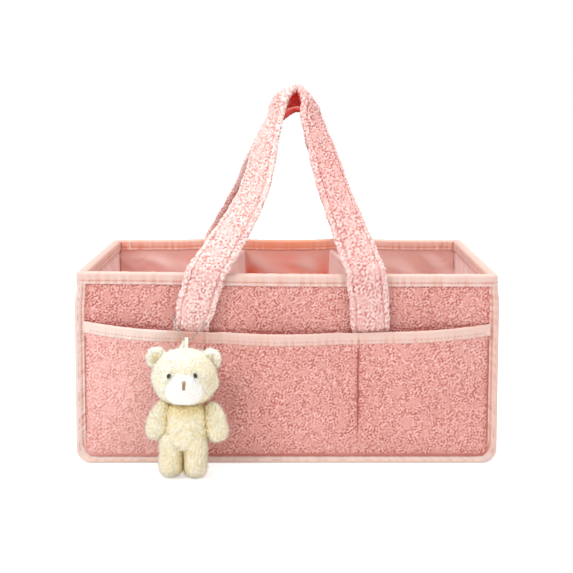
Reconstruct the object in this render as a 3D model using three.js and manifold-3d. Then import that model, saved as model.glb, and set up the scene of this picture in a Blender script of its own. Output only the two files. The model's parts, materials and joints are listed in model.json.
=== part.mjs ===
// Fleece diaper caddy: a soft-sided tub with stiffened walls, bound edges, outside pockets, two carrying
// handles, two dividers held by hook-and-loop tape, and a small plush bear that hangs from the front handle
// on a ball chain.
// Millimetres, +Z up. The origin is on the floor under the middle of the tub, and the front faces -Y.
import * as THREE from "three";
import { mergeVertices } from "three/addons/utils/BufferGeometryUtils.js";
import Module from "manifold-3d";

const wasm = await Module();
wasm.setup();

// Tub, measured over its binding tapes
const TUB_WIDTH = 380;
const TUB_DEPTH = 250;
const TUB_HEIGHT = 176;
const CORNER_RADIUS = 13; // bottom corners of the long sides

// Layers of a wall, from the outside in
const TAPE = 0.8;
const FLEECE = 3.5;
const BOARD = 2;
const LINING = 0.7;
const BASE_BOARD = 3;
const BOARD_BELOW_WALL = 4; // the boards end inside the rim tape
const CLEARANCE = 0.3; // between pieces that lie on each other

// Binding tapes
const RIM_TAPE_DROP = 10.5; // height on each side of the rim
const RIM_CORNER_RADIUS = 1.5;
const EDGE_TAPE_FACE = 9; // width on the face of a long side
const EDGE_TAPE_SIDE = 9; // width round the corner, on the ends and the base

// Outside pockets, one fleece panel on each long side, sewn down along two seams
const POCKET_HEIGHT = 122.7; // height of the mouth above the floor, in the middle
const POCKET_LEFT_RISE = 10.2; // the mouth climbs this much towards the tub's corners
const POCKET_RIGHT_RISE = 7.4;
const POCKET_RISE_POWER = 2.05;
const POCKET_FLEECE = 3;
const POCKET_HEM = 1.6; // thickness where the panel is sewn down
const POCKET_BULGE = 10;
const POCKET_TAPE_DROP = 10.5;
const LEFT_SEAM_X = -74;
const RIGHT_SEAM_X = 64;

// Handles: a stuffed strap on each long side, sewn down behind the pocket
const STRAP_WIDTH = 36;
const STRAP_THICKNESS = 9;
const STRAP_SEWN_THICKNESS = 4.4; // flattened where it is sewn down
const STRAP_FOOT_DEPTH = 32; // sewn length below the pocket's mouth
const STRAP_STAND_OFF = 3.4; // room behind the strap above the pocket, for the chain
const STRAP_RIM_STAND_OFF = 1.4; // room between the strap and the rim tape
const STRAP_SIDE_ROOM = 2; // between the strap's edges and where the pocket comes down to the wall
const STRAP_TAKE_OFF = 4; // the strap starts to come off the wall this far below the mouth
const LEFT_FOOT_X = -90;
const LEFT_RIM_X = -72;
const RIGHT_FOOT_X = 76.5;
const RIGHT_RIM_X = 70;
const PIVOT_HEIGHT = 1.5; // the strap bends this far above the rim
const PIVOT_CLEARANCE = 0.6;
const APEX_TILT = THREE.MathUtils.degToRad(27); // the strap's outer edge rides high at the top
const APEX_X = 9;
const ARCH_HALF = 10; // half the width of the fold's arch
const ARCH_DROP = 9; // below the top
const FOLD_DROP = 28; // how far below the top the legs run straight
const FRONT_APEX_RISE = 157; // above the line that the strap bends on
const BACK_APEX_RISE = 146;
// Each leg: how far from the top's middle it meets the fold, how far it bows inwards, and how early it turns
const FRONT_LEFT_LEG = { spread: 21.5, bow: 8, twist: 1.2 };
const FRONT_RIGHT_LEG = { spread: 16, bow: 2, twist: 1.05 };
const BACK_LEFT_LEG = { spread: 28, bow: 3, twist: 1.2 };
const BACK_RIGHT_LEG = { spread: 19, bow: 2, twist: 1.05 };
const HANDLE_GAP = 3; // between the two handles where they meet at the top

// Dividers and the hook-and-loop tape that holds them
const DIVIDER_FRONT_X = 59; // they stand a little further apart at the front
const DIVIDER_BACK_X = 45.5;
const DIVIDER_THICKNESS = 5;
const DIVIDER_BELOW_RIM = 9;
const HOOK_TAPE = 1.2;
const HOOK_TAPE_WIDTH = 20;
const LOOP_TAPE = 1;
const LOOP_TAPE_HEIGHT = 30;
const LOOP_TAPE_CENTRE = 95; // height above the floor
const DIVIDER_FLANGE = 1;

// Ball chain of the charm
const BALL_DIAMETER = 2;
const BALL_PITCH = 2.9;
const CHAIN_ROD_DIAMETER = 0.8;
const CHAIN_ABOVE_MOUTH = 13.3; // height where the chain goes round the strap, above the pocket's mouth
const CHAIN_SIDE_ROOM = 2.4; // between the strap's edge and the middle of the chain
const CHAIN_DROP = 15;
const CHAIN_SHIFT = -4.7; // the chain hangs a little towards the tub's end
const CHAIN_REACH = 13; // how far the bottom of the chain hangs out in front of the strap
const COUPLING_DIAMETER = 2.8;
const COUPLING_LENGTH = 8;

// Ribbon loop on the bear's head
const RIBBON_WIDTH = 4;
const RIBBON = 0.8;
const RIBBON_ROOM = 0.45; // between the ribbon and the balls
const RIBBON_SLOPE = 7; // the ribbon goes forward this much from the chain to the crown
const RIBBON_SEWN_DEPTH = 6; // sewn end below the crown

// Bear
const BEAR_HEIGHT = 114; // feet to crown
const BEAR_CROWN_DROP = 5; // crown below the bottom of the chain
const BEAR_TILT = THREE.MathUtils.degToRad(1.5);
const BEAR_AHEAD = 14; // middle of the bear in front of the bottom of the chain
const HEAD_WIDTH = 58;
const HEAD_HEIGHT = 49.5;
const HEAD_DEPTH = 49;
const EAR_WIDTH = 19.5;
const EAR_DEPTH = 11;
const EAR_SPREAD = 23.6;
const EAR_ASIDE = -1.6; // the head hangs a little crooked on the body
const EAR_BACK = 2;
const EAR_ABOVE_HEAD_CENTRE = 15.4;
const MUZZLE_WIDTH = 33;
const MUZZLE_HEIGHT = 28;
const MUZZLE_DEPTH = 18;
const MUZZLE_BELOW_HEAD_CENTRE = 7.25;
const MUZZLE_ASIDE = 0.8; // the face is turned a little
const EYE_WIDTH = 3.6;
const EYE_HEIGHT = 4.2;
const EYE_SPREAD = 11.4;
const EYE_ABOVE_HEAD_CENTRE = 6.3;
const NOSE_WIDTH = 2.4;
const NOSE_HEIGHT = 9;
const NOSE_PROUD = 1;
const NOSE_LEVEL = 0.18; // above the muzzle's middle, as a share of its height
const TORSO_WIDTH = 41;
const TORSO_DEPTH = 32;
const TORSO_HEIGHT = 45;
const TORSO_BOTTOM = 23; // above the soles
const TORSO_ASIDE = 1.2;
const ARM_WIDTH = 19;
const ARM_LENGTH = 34;
const ARM_SPREAD = 25;
const ARM_ASIDE = 2.2;
const ARM_CENTRE = 49.5; // above the soles
const ARM_FORWARD = 1;
const ARM_TILT = THREE.MathUtils.degToRad(14);
const LEG_WIDTH = 21.2;
const LEG_DEPTH = 25;
const LEG_LENGTH = 42;
const LEG_SPREAD = 10.8;
const LEG_FORWARD = 3;

// Depths of the layers below the outer faces of the tapes
const FLEECE_FACE = TAPE + CLEARANCE;
const BOARD_FACE = FLEECE_FACE + FLEECE + CLEARANCE;
const LINING_FACE = BOARD_FACE + BOARD + CLEARANCE;
const WALL_INSIDE = LINING_FACE + LINING;
const RIM_WIDTH = WALL_INSIDE + CLEARANCE + TAPE;
const HALF_WIDTH = TUB_WIDTH / 2;
const HALF_DEPTH = TUB_DEPTH / 2;
const WALL_TOP = TUB_HEIGHT - TAPE - CLEARANCE;
const RIM_TAPE_BOTTOM = TUB_HEIGHT - RIM_TAPE_DROP;
const BASE_BOARD_TOP = FLEECE + CLEARANCE + BASE_BOARD;
const FLOOR_LINING_TOP = BASE_BOARD_TOP + CLEARANCE + LINING;
const BOARD_FOOT = CORNER_RADIUS; // the boards stand on the round corners
const BOARD_TOP = WALL_TOP - BOARD_BELOW_WALL;
const PIVOT_Z = TUB_HEIGHT + PIVOT_HEIGHT;
const PANEL_Y = -HALF_DEPTH + FLEECE_FACE; // outer face of the front fleece panel

// Mesh density
const CURVE_SEGMENTS = 5;
const PLUSH_SEGMENTS = 16;
const PLUSH_STEPS = 9;
const LOOP_STEPS = 40;
const FOOT_STEPS = 8;
const POCKET_STEPS = 34;
const CHAIN_SIDES = 6;

const fleece = new THREE.MeshStandardMaterial({ color: 0xe2a097, roughness: 0.95 });
const strapFleece = new THREE.MeshStandardMaterial({ color: 0xedb8b0, roughness: 0.95 });
const tape = new THREE.MeshStandardMaterial({ color: 0xf2c6b6, roughness: 0.7 });
const lining = new THREE.MeshStandardMaterial({ color: 0xe9aca2, roughness: 0.55 });
const board = new THREE.MeshStandardMaterial({ color: 0xd9d4cb, roughness: 0.8 });
const hookTape = new THREE.MeshStandardMaterial({ color: 0xe7b3a8, roughness: 0.9 });
const plush = new THREE.MeshStandardMaterial({ color: 0xf1e3bf, roughness: 0.95 });
const muzzlePlush = new THREE.MeshStandardMaterial({ color: 0xfaf6ee, roughness: 0.95 });
const blackPlastic = new THREE.MeshStandardMaterial({ color: 0x17120f, roughness: 0.2 });
const brownThread = new THREE.MeshStandardMaterial({ color: 0x8f6a48, roughness: 0.8 });
const ribbonSatin = new THREE.MeshStandardMaterial({ color: 0xf7f3e6, roughness: 0.5 });
const steel = new THREE.MeshStandardMaterial({ color: 0xb9b8b5, roughness: 0.25, metalness: 1 });

const smooth = (x, from, to) => THREE.MathUtils.smoothstep(x, from, to);
const mix = THREE.MathUtils.lerp;
const point = (x, y, z) => new THREE.Vector3(x, y, z);

// Geometry helpers

function signedVolume(positions, triangles) {
  const corner = (i) => new THREE.Vector3().fromArray(positions, 3 * i);
  let six = 0;
  for (let i = 0; i < triangles.length; i += 3) {
    const [a, b, c] = [0, 1, 2].map((k) => corner(triangles[i + k]));
    six += a.dot(b.cross(c));
  }
  return six / 6;
}

// The geometry as one closed indexed surface of positions only, facing out.
function closedSurface(geometry) {
  const bare = geometry.clone();
  bare.deleteAttribute("normal");
  bare.deleteAttribute("uv");
  const merged = mergeVertices(bare, 1e-4);
  const corners = merged.index.array;
  let triangles = [];
  for (let i = 0; i < corners.length; i += 3) {
    const [a, b, c] = [corners[i], corners[i + 1], corners[i + 2]];
    if (a !== b && b !== c && c !== a) triangles.push(a, b, c);
  }
  if (signedVolume(merged.attributes.position.array, triangles) < 0) triangles = triangles.reverse();
  return new THREE.BufferGeometry().setAttribute("position", merged.attributes.position).setIndex(triangles);
}

function toSolid(geometry) {
  const surface = closedSurface(geometry);
  return new wasm.Manifold(
    new wasm.Mesh({
      numProp: 3,
      vertProperties: new Float32Array(surface.attributes.position.array),
      triVerts: new Uint32Array(surface.index.array),
    }),
  );
}

function toGeometry(solid) {
  const mesh = solid.getMesh();
  return new THREE.BufferGeometry()
    .setAttribute("position", new THREE.BufferAttribute(new Float32Array(mesh.vertProperties), 3))
    .setIndex(new THREE.BufferAttribute(new Uint32Array(mesh.triVerts), 1));
}

function cut(geometry, ...tools) {
  const solids = tools.map(toSolid);
  return toGeometry(solids.reduce((rest, tool) => rest.subtract(tool), toSolid(geometry)));
}

function join(...geometries) {
  return toGeometry(geometries.map(toSolid).reduce((all, next) => all.add(next)));
}

function slab(x0, x1, y0, y1, z0, z1) {
  const box = new THREE.BoxGeometry(x1 - x0, y1 - y0, z1 - z0);
  return box.translate((x0 + x1) / 2, (y0 + y1) / 2, (z0 + z1) / 2);
}

// A shape drawn in X and Z, extruded from y0 to y1.
function prismAlongY(shape, y0, y1) {
  const options = { depth: y1 - y0, bevelEnabled: false, curveSegments: CURVE_SEGMENTS };
  return new THREE.ExtrudeGeometry(shape, options).rotateX(Math.PI / 2).translate(0, y1, 0);
}

// A shape drawn in X and Y, extruded from z0 to z1.
function prismAlongZ(shape, z0, z1) {
  const options = { depth: z1 - z0, bevelEnabled: false, curveSegments: CURVE_SEGMENTS };
  return new THREE.ExtrudeGeometry(shape, options).translate(0, 0, z0);
}

// Carries a closed profile through a row of stations, each a function from a profile point to a place.
function loft(profile, stations, { ring = false } = {}) {
  const positions = stations.flatMap((place) => profile.flatMap((p) => place(p).toArray()));
  const count = profile.length;
  const triangles = [];
  const spans = ring ? stations.length : stations.length - 1;
  for (let i = 0; i < spans; i++) {
    const [here, there] = [i * count, ((i + 1) % stations.length) * count];
    for (let k = 0; k < count; k++) {
      const next = (k + 1) % count;
      triangles.push(here + k, here + next, there + next, here + k, there + next, there + k);
    }
  }
  // Each open end is closed by a zigzag between the profile's first half and its second half.
  const last = (stations.length - 1) * count;
  const close = (a, b, c) => triangles.push(a, c, b, last + a, last + b, last + c);
  for (let i = 0, j = count - 1; !ring && j - i > 1; i++, j--) {
    close(i, i + 1, j);
    if (j - i > 2) close(i + 1, j - 1, j);
  }
  const made = new THREE.BufferGeometry().setIndex(triangles);
  return closedSurface(made.setAttribute("position", new THREE.Float32BufferAttribute(positions, 3)));
}

// A round stuffed form about Z. The profile lists [share of the radius, share of the height], bottom to top.
function stuffed(profile, width, depth, height) {
  const outline = new THREE.SplineCurve(profile.map(([r, h]) => new THREE.Vector2(r, h)));
  const points = outline.getPoints(PLUSH_STEPS);
  points.forEach((p) => (p.x = Math.max(p.x, 0)));
  points[0].x = 0;
  points.at(-1).x = 0;
  const turned = new THREE.LatheGeometry(points, PLUSH_SEGMENTS).rotateX(Math.PI / 2);
  return closedSurface(turned.scale(width / 2, depth / 2, height));
}

// The same form a clearance larger all round, to cut room in its neighbours.
function grown(geometry, room = CLEARANCE) {
  geometry.computeBoundingBox();
  const centre = geometry.boundingBox.getCenter(point(0, 0, 0));
  const size = geometry.boundingBox.getSize(point(0, 0, 0));
  const scale = size.toArray().map((s) => 1 + (2 * room) / s);
  const centred = geometry.clone().translate(...centre.clone().negate().toArray());
  return centred.scale(...scale).translate(...centre.toArray());
}

const caddy = new THREE.Group();

function addPiece(group, name, geometry, material) {
  const mesh = new THREE.Mesh(geometry, material);
  mesh.name = name;
  group.add(mesh);
}

// Outline of a long side in X and Z, drawn in from the tapes' outer edge, with round bottom corners.
function sideOutline(inset, top) {
  const x = HALF_WIDTH - inset;
  const r = Math.max(CORNER_RADIUS - inset, 1);
  return new THREE.Shape()
    .moveTo(-x, top)
    .lineTo(-x, inset + r)
    .absarc(-x + r, inset + r, r, Math.PI, 1.5 * Math.PI)
    .lineTo(x - r, inset)
    .absarc(x - r, inset + r, r, 1.5 * Math.PI, 2 * Math.PI)
    .lineTo(x, top)
    .closePath();
}

// Rounded rectangle of the tub seen from above.
function rimOutline(inset) {
  const [x, y] = [HALF_WIDTH - inset, HALF_DEPTH - inset];
  const r = Math.max(RIM_CORNER_RADIUS - inset, 0.5);
  return new THREE.Shape()
    .moveTo(x, -y + r)
    .lineTo(x, y - r)
    .absarc(x - r, y - r, r, 0, 0.5 * Math.PI)
    .lineTo(-x + r, y)
    .absarc(-x + r, y - r, r, 0.5 * Math.PI, Math.PI)
    .lineTo(-x, -y + r)
    .absarc(-x + r, -y + r, r, Math.PI, 1.5 * Math.PI)
    .lineTo(x - r, -y)
    .absarc(x - r, -y + r, r, 1.5 * Math.PI, 2 * Math.PI)
    .closePath();
}

// End wall's fleece: upright, with the round corner that leads under the base.
function endPanelOutline() {
  const outer = HALF_WIDTH - FLEECE_FACE;
  const r = CORNER_RADIUS - FLEECE_FACE;
  const [cx, cz] = [outer - r, FLEECE_FACE + r];
  return new THREE.Shape()
    .moveTo(outer, WALL_TOP)
    .lineTo(outer - FLEECE, WALL_TOP)
    .lineTo(outer - FLEECE, cz)
    .absarc(cx, cz, r - FLEECE, 0, -0.5 * Math.PI, true)
    .lineTo(cx, FLEECE_FACE)
    .absarc(cx, cz, r, -0.5 * Math.PI, 0)
    .closePath();
}

function addEndWall(name, side) {
  const group = new THREE.Group();
  group.rotation.z = side > 0 ? 0 : Math.PI;
  const panelReach = HALF_DEPTH - FLEECE_FACE - FLEECE - CLEARANCE;
  const boardReach = HALF_DEPTH - BOARD_FACE - BOARD - CLEARANCE;
  const liningReach = HALF_DEPTH - WALL_INSIDE - CLEARANCE;
  addPiece(group, name + "_outer_panel", prismAlongY(endPanelOutline(), -panelReach, panelReach), fleece);
  const boardX = HALF_WIDTH - BOARD_FACE;
  const stiffener = slab(boardX - BOARD, boardX, -boardReach, boardReach, BOARD_FOOT, BOARD_TOP);
  addPiece(group, name + "_board", stiffener, board);
  const liningX = HALF_WIDTH - LINING_FACE;
  const foot = FLOOR_LINING_TOP + CLEARANCE;
  const sheet = slab(liningX - LINING, liningX, -liningReach, liningReach, foot, WALL_TOP);
  addPiece(group, name + "_lining", sheet, lining);
  caddy.add(group);
}

function addBase() {
  const x = HALF_WIDTH - CORNER_RADIUS - CLEARANCE;
  const panelY = HALF_DEPTH - EDGE_TAPE_SIDE - CLEARANCE;
  addPiece(caddy, "base_outer_panel", slab(-x, x, -panelY, panelY, 0, FLEECE), fleece);
  const boardY = HALF_DEPTH - BOARD_FACE - BOARD - CLEARANCE;
  addPiece(caddy, "base_board", slab(-x, x, -boardY, boardY, FLEECE + CLEARANCE, BASE_BOARD_TOP), board);
  const liningX = HALF_WIDTH - WALL_INSIDE - CLEARANCE;
  const liningY = HALF_DEPTH - WALL_INSIDE - CLEARANCE;
  const liningFoot = BASE_BOARD_TOP + CLEARANCE;
  const floor = slab(-liningX, liningX, -liningY, liningY, liningFoot, FLOOR_LINING_TOP);
  addPiece(caddy, "base_lining", floor, lining);
}

// Rim tape: a channel folded over the top of the walls, in four lengths that meet in mitres at the corners.
function addRimTapes() {
  const groove = rimOutline(TAPE);
  groove.holes.push(rimOutline(RIM_WIDTH - TAPE));
  const body = rimOutline(0);
  body.holes.push(rimOutline(RIM_WIDTH));
  const channel = cut(
    prismAlongZ(body, RIM_TAPE_BOTTOM, TUB_HEIGHT),
    prismAlongZ(groove, RIM_TAPE_BOTTOM - 1, TUB_HEIGHT - TAPE),
  );
  // A wedge between the two mitre lines at the ends of one side, a little less than the side.
  const past = RIM_WIDTH + 1;
  const mitre = (half) =>
    new THREE.Shape([
      new THREE.Vector2(-half - past + CLEARANCE, past),
      new THREE.Vector2(-half + past + CLEARANCE, -past),
      new THREE.Vector2(half - past - CLEARANCE, -past),
      new THREE.Vector2(half + past - CLEARANCE, past),
    ]);
  const sides = [
    ["front", 0, HALF_WIDTH, HALF_DEPTH],
    ["right", 0.5 * Math.PI, HALF_DEPTH, HALF_WIDTH],
    ["back", Math.PI, HALF_WIDTH, HALF_DEPTH],
    ["left", 1.5 * Math.PI, HALF_DEPTH, HALF_WIDTH],
  ];
  for (const [name, turn, half, out] of sides) {
    const wedge = prismAlongZ(mitre(half), RIM_TAPE_BOTTOM - 1, TUB_HEIGHT + 1);
    wedge.rotateZ(Math.PI).translate(0, -out, 0).rotateZ(turn);
    const length = toGeometry(toSolid(channel).intersect(toSolid(wedge)));
    addPiece(caddy, name + "_rim_tape", length, tape);
  }
}

// Tape that binds the three sewn edges of a long side: it runs down, along the bottom and up again.
function edgeTape() {
  const top = RIM_TAPE_BOTTOM - CLEARANCE;
  const face = -HALF_DEPTH;
  return cut(
    prismAlongY(sideOutline(0, top), face, face + EDGE_TAPE_SIDE),
    prismAlongY(sideOutline(TAPE, top + 1), face + TAPE, face + EDGE_TAPE_SIDE + 1),
    prismAlongY(sideOutline(EDGE_TAPE_FACE, top + 1), face - 1, face + TAPE + 1),
  );
}

// Middle of the strap's foot at a height: its place along the wall, its stand-off and half its thickness.
function strapFoot(z, footX, rimX) {
  const footZ = POCKET_HEIGHT - STRAP_FOOT_DEPTH;
  const share = (z - footZ) / (PIVOT_Z - footZ);
  const x = mix(footX, rimX, share ** 2 * 0.75 + share * 0.25);
  const risen = smooth(z, POCKET_HEIGHT - STRAP_TAKE_OFF, POCKET_HEIGHT + CHAIN_ABOVE_MOUTH - BALL_DIAMETER);
  const half = mix(STRAP_SEWN_THICKNESS, STRAP_THICKNESS, risen) / 2;
  const atRim = smooth(z, POCKET_HEIGHT + 2 * CHAIN_ABOVE_MOUTH, RIM_TAPE_BOTTOM);
  const standOff = mix(mix(CLEARANCE, STRAP_STAND_OFF, risen), FLEECE_FACE + STRAP_RIM_STAND_OFF, atRim);
  return { x, half, out: standOff + half };
}

// Height of the pocket's mouth along the wall.
function mouthHeight(x) {
  const share = Math.abs(x) / (HALF_WIDTH - EDGE_TAPE_FACE);
  const rise = x < 0 ? POCKET_LEFT_RISE : POCKET_RIGHT_RISE;
  return POCKET_HEIGHT + rise * share ** POCKET_RISE_POWER;
}

// How far the pocket panel's inner face stands off the wall. It bellies out between its seams, and lies over
// the straps.
function pocketRoom(x, z) {
  const edge = HALF_WIDTH - EDGE_TAPE_FACE - CLEARANCE;
  const seams = [-edge, LEFT_SEAM_X, RIGHT_SEAM_X, edge];
  const bay = seams.findIndex((s, i) => i < 3 && x <= seams[i + 1]);
  const across = THREE.MathUtils.clamp((x - seams[bay]) / (seams[bay + 1] - seams[bay]), 0, 1);
  const up = THREE.MathUtils.clamp((z - EDGE_TAPE_FACE) / (mouthHeight(x) - EDGE_TAPE_FACE), 0, 1);
  const belly = POCKET_BULGE * Math.sin(Math.PI * across) ** 1.2 * Math.sin(0.5 * Math.PI * up);
  const overStraps = [
    [LEFT_FOOT_X, LEFT_RIM_X],
    [RIGHT_FOOT_X, RIGHT_RIM_X],
  ].map(([footX, rimX]) => {
    const footZ = POCKET_HEIGHT - STRAP_FOOT_DEPTH;
    const foot = strapFoot(Math.max(z, footZ), footX, rimX);
    const beside = 1 - smooth(Math.abs(x - foot.x), STRAP_WIDTH / 2 + STRAP_SIDE_ROOM, STRAP_WIDTH);
    const below = smooth(z, footZ - STRAP_FOOT_DEPTH, footZ - STRAP_SIDE_ROOM);
    return (foot.out + foot.half + 2 * CLEARANCE) * beside * below;
  });
  const mouth = mouthHeight(x);
  const forTape = (TAPE + CLEARANCE) * smooth(z, mouth - 2 * POCKET_TAPE_DROP, mouth - POCKET_TAPE_DROP);
  return CLEARANCE + Math.max(belly, ...overStraps) + forTape;
}

// Places across the wall where the pocket is drawn: even steps, and each seam.
function pocketColumns() {
  const edge = HALF_WIDTH - EDGE_TAPE_FACE - CLEARANCE;
  const even = Array.from({ length: POCKET_STEPS + 1 }, (_, i) => mix(-edge, edge, i / POCKET_STEPS));
  const step = (2 * edge) / POCKET_STEPS;
  const seams = [LEFT_SEAM_X, RIGHT_SEAM_X];
  const kept = even.filter((x) => seams.every((s) => Math.abs(x - s) > step / 3));
  return [...kept, ...seams].sort((a, b) => a - b);
}

// Pocket panel: fleece that is thin where it is sewn down at its sides and bottom.
function pocketPanel() {
  const rows = [0, 0.12, 0.3, 0.5, 0.68, 0.82, 0.92, 1]; // shares of the height up to the tape's lower edge
  const edge = HALF_WIDTH - EDGE_TAPE_FACE - CLEARANCE;
  const round = CORNER_RADIUS - EDGE_TAPE_FACE;
  const lowEdge = (x) => EDGE_TAPE_FACE + CLEARANCE + Math.max(round - (edge - Math.abs(x)), 0);
  const heights = (x) => {
    const top = mouthHeight(x) - TAPE - CLEARANCE;
    const tapeFoot = mouthHeight(x) - POCKET_TAPE_DROP;
    return [...rows.map((r) => mix(lowEdge(x), tapeFoot, r)), top];
  };
  const levels = rows.length + 1;
  const profile = [
    ...Array.from({ length: levels }, (_, i) => new THREE.Vector2(1, i)),
    ...Array.from({ length: levels }, (_, i) => new THREE.Vector2(0, levels - 1 - i)),
  ];
  const stations = pocketColumns().map((x) => (p) => {
    const z = heights(x)[p.y];
    const fromEdge = Math.min(edge - Math.abs(x), z - lowEdge(x));
    const thick = mix(POCKET_HEM, POCKET_FLEECE, smooth(fromEdge, 0, 2 * EDGE_TAPE_FACE));
    return point(x, PANEL_Y - pocketRoom(x, z) - p.x * thick, z);
  });
  return loft(profile, stations);
}

// Tape folded over the pocket's mouth.
function pocketTape() {
  const edge = HALF_WIDTH - EDGE_TAPE_FACE - CLEARANCE;
  // Corners of the folded section, [layer, level]: the layers count outwards, and the levels count up.
  const profile = [
    [0, 0],
    [0, 2],
    [3, 2],
    [3, 0],
    [2, 0],
    [2, 1],
    [1, 1],
    [1, 0],
  ].map(([layer, level]) => new THREE.Vector2(layer, level));
  const stations = pocketColumns().map((x) => (p) => {
    const mouth = mouthHeight(x);
    const z = [mouth - POCKET_TAPE_DROP + CLEARANCE, mouth - TAPE, mouth][p.y];
    const thick = mix(POCKET_HEM, POCKET_FLEECE, smooth(edge - Math.abs(x), 0, 2 * EDGE_TAPE_FACE));
    const back = pocketRoom(x, z) - CLEARANCE;
    const front = back + thick + 2 * CLEARANCE;
    return point(x, PANEL_Y - [back - TAPE, back, front, front + TAPE][p.x], z);
  });
  return loft(profile, stations);
}

// Section of the stuffed strap, as shares of half its size: padded in the middle, with a flat sewn margin at
// each edge.
const strapHalf = [
  [-1, 0],
  [-0.86, 0.42],
  [-0.7, 0.3],
  [-0.5, 0.8],
  [0, 1],
  [0.5, 0.8],
  [0.7, 0.3],
  [0.86, 0.42],
];
const strapSection = [
  ...strapHalf.map(([w, t]) => new THREE.Vector2(w, t)),
  ...strapHalf.map(([w, t]) => new THREE.Vector2(-w, -t)),
];

// The sewn end of a strap, from behind the pocket up to just under the place where it bends.
function strapEnd(footX, rimX) {
  const bottom = POCKET_HEIGHT - STRAP_FOOT_DEPTH;
  const top = PIVOT_Z - STRAP_THICKNESS / 2 - PIVOT_CLEARANCE;
  const stations = Array.from({ length: FOOT_STEPS + 1 }, (_, i) => {
    const z = mix(bottom, top, i / FOOT_STEPS);
    const { x, half, out } = strapFoot(z, footX, rimX);
    return (p) => point(x + (p.x * STRAP_WIDTH) / 2, PANEL_Y - out - p.y * half, z);
  });
  return loft(strapSection, stations);
}

// The free loop of a handle: two legs that lean in over the tub, each with a quarter turn up to a sharp fold.
function handleLoop({ rise, left, right }) {
  const pivotY = PANEL_Y - strapFoot(PIVOT_Z, LEFT_FOOT_X, LEFT_RIM_X).out;
  const apex = point(APEX_X, -(STRAP_WIDTH * Math.cos(APEX_TILT) + HANDLE_GAP) / 2, PIVOT_Z + rise);
  const below = (aside, drop) => point(APEX_X + aside, mix(apex.y, pivotY, drop / rise), apex.z - drop);
  const leg = (rimX, side, { spread, bow }) => {
    const rim = point(rimX, pivotY, PIVOT_Z);
    const top = below(side * spread, FOLD_DROP);
    const middle = rim.clone().lerp(top, 0.5).add(point(-side * bow, 0, 0));
    return [rim, middle, top, below(side * ARCH_HALF, ARCH_DROP)];
  };
  const rightLeg = leg(RIGHT_RIM_X, 1, right).reverse();
  const path = new THREE.CatmullRomCurve3([...leg(LEFT_RIM_X, -1, left), apex, ...rightLeg]);
  const stations = [];
  const addStation = (share, lower, slim) => {
    const centre = path.getPoint(share).add(point(0, 0, -lower));
    const fromEnd = Math.min(share, 1 - share);
    const upright = point(0, 0, share < 0.5 ? 1 : -1);
    const along = upright.lerp(path.getTangent(share), smooth(fromEnd, 0, 0.12)).normalize();
    // The inner edge of the legs comes round to the outer edge of the fold.
    const fromTop = 1 - 2 * share;
    const untwisted = Math.sign(fromTop) * Math.abs(fromTop) ** (fromTop > 0 ? left : right).twist;
    const turn = (Math.PI / 2) * (1 - untwisted);
    const lift = Math.sin(turn);
    const across = point(Math.cos(turn), -lift * Math.cos(APEX_TILT), lift * Math.sin(APEX_TILT));
    across.addScaledVector(along, -across.dot(along)).normalize();
    const out = across.clone().cross(along);
    const [w, t] = [STRAP_WIDTH / 2, (STRAP_THICKNESS / 2) * slim];
    stations.push((p) => centre.clone().addScaledVector(across, p.x * w).addScaledVector(out, p.y * t));
  };
  // Each end is rounded about the line that it bends on.
  const roundEnd = [0.98, 0.85, 0.5].map((s) => [(s * STRAP_THICKNESS) / 2, Math.sqrt(1 - s * s)]);
  roundEnd.forEach(([lower, slim]) => addStation(0, lower, slim));
  for (let i = 0; i <= LOOP_STEPS; i++) addStation(i / LOOP_STEPS, 0, 1);
  roundEnd.reverse().forEach(([lower, slim]) => addStation(1, lower, slim));
  return loft(strapSection, stations);
}

// Everything that a long side carries. The back is the front's mirror image, apart from its lower handle.
function addLongSide(name, mirrored, loop) {
  const group = new THREE.Group();
  group.scale.y = mirrored ? -1 : 1;
  const panel = prismAlongY(sideOutline(FLEECE_FACE, WALL_TOP), PANEL_Y, PANEL_Y + FLEECE);
  addPiece(group, name + "_outer_panel", panel, fleece);
  const boardX = HALF_WIDTH - BOARD_FACE;
  const boardY = -HALF_DEPTH + BOARD_FACE;
  const stiffener = slab(-boardX, boardX, boardY, boardY + BOARD, BOARD_FOOT, BOARD_TOP);
  addPiece(group, name + "_board", stiffener, board);
  const liningX = HALF_WIDTH - LINING_FACE;
  const liningY = -HALF_DEPTH + LINING_FACE;
  const liningFoot = FLOOR_LINING_TOP + CLEARANCE;
  const sheet = slab(-liningX, liningX, liningY, liningY + LINING, liningFoot, WALL_TOP);
  addPiece(group, name + "_lining", sheet, lining);
  addPiece(group, name + "_edge_tape", edgeTape(), tape);
  addPiece(group, name + "_pocket_panel", pocketPanel(), fleece);
  addPiece(group, name + "_pocket_tape", pocketTape(), tape);
  addPiece(group, name + "_handle_left_end", strapEnd(LEFT_FOOT_X, LEFT_RIM_X), strapFleece);
  addPiece(group, name + "_handle_right_end", strapEnd(RIGHT_FOOT_X, RIGHT_RIM_X), strapFleece);
  addPiece(group, name + "_handle_loop", handleLoop(loop), strapFleece);
  const loopX = HALF_WIDTH - WALL_INSIDE - 2 * CLEARANCE;
  const loopY = -HALF_DEPTH + WALL_INSIDE + CLEARANCE;
  const [low, high] = [LOOP_TAPE_CENTRE - LOOP_TAPE_HEIGHT / 2, LOOP_TAPE_CENTRE + LOOP_TAPE_HEIGHT / 2];
  addPiece(group, name + "_loop_tape", slab(-loopX, loopX, loopY, loopY + LOOP_TAPE, low, high), hookTape);
  caddy.add(group);
}

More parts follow.
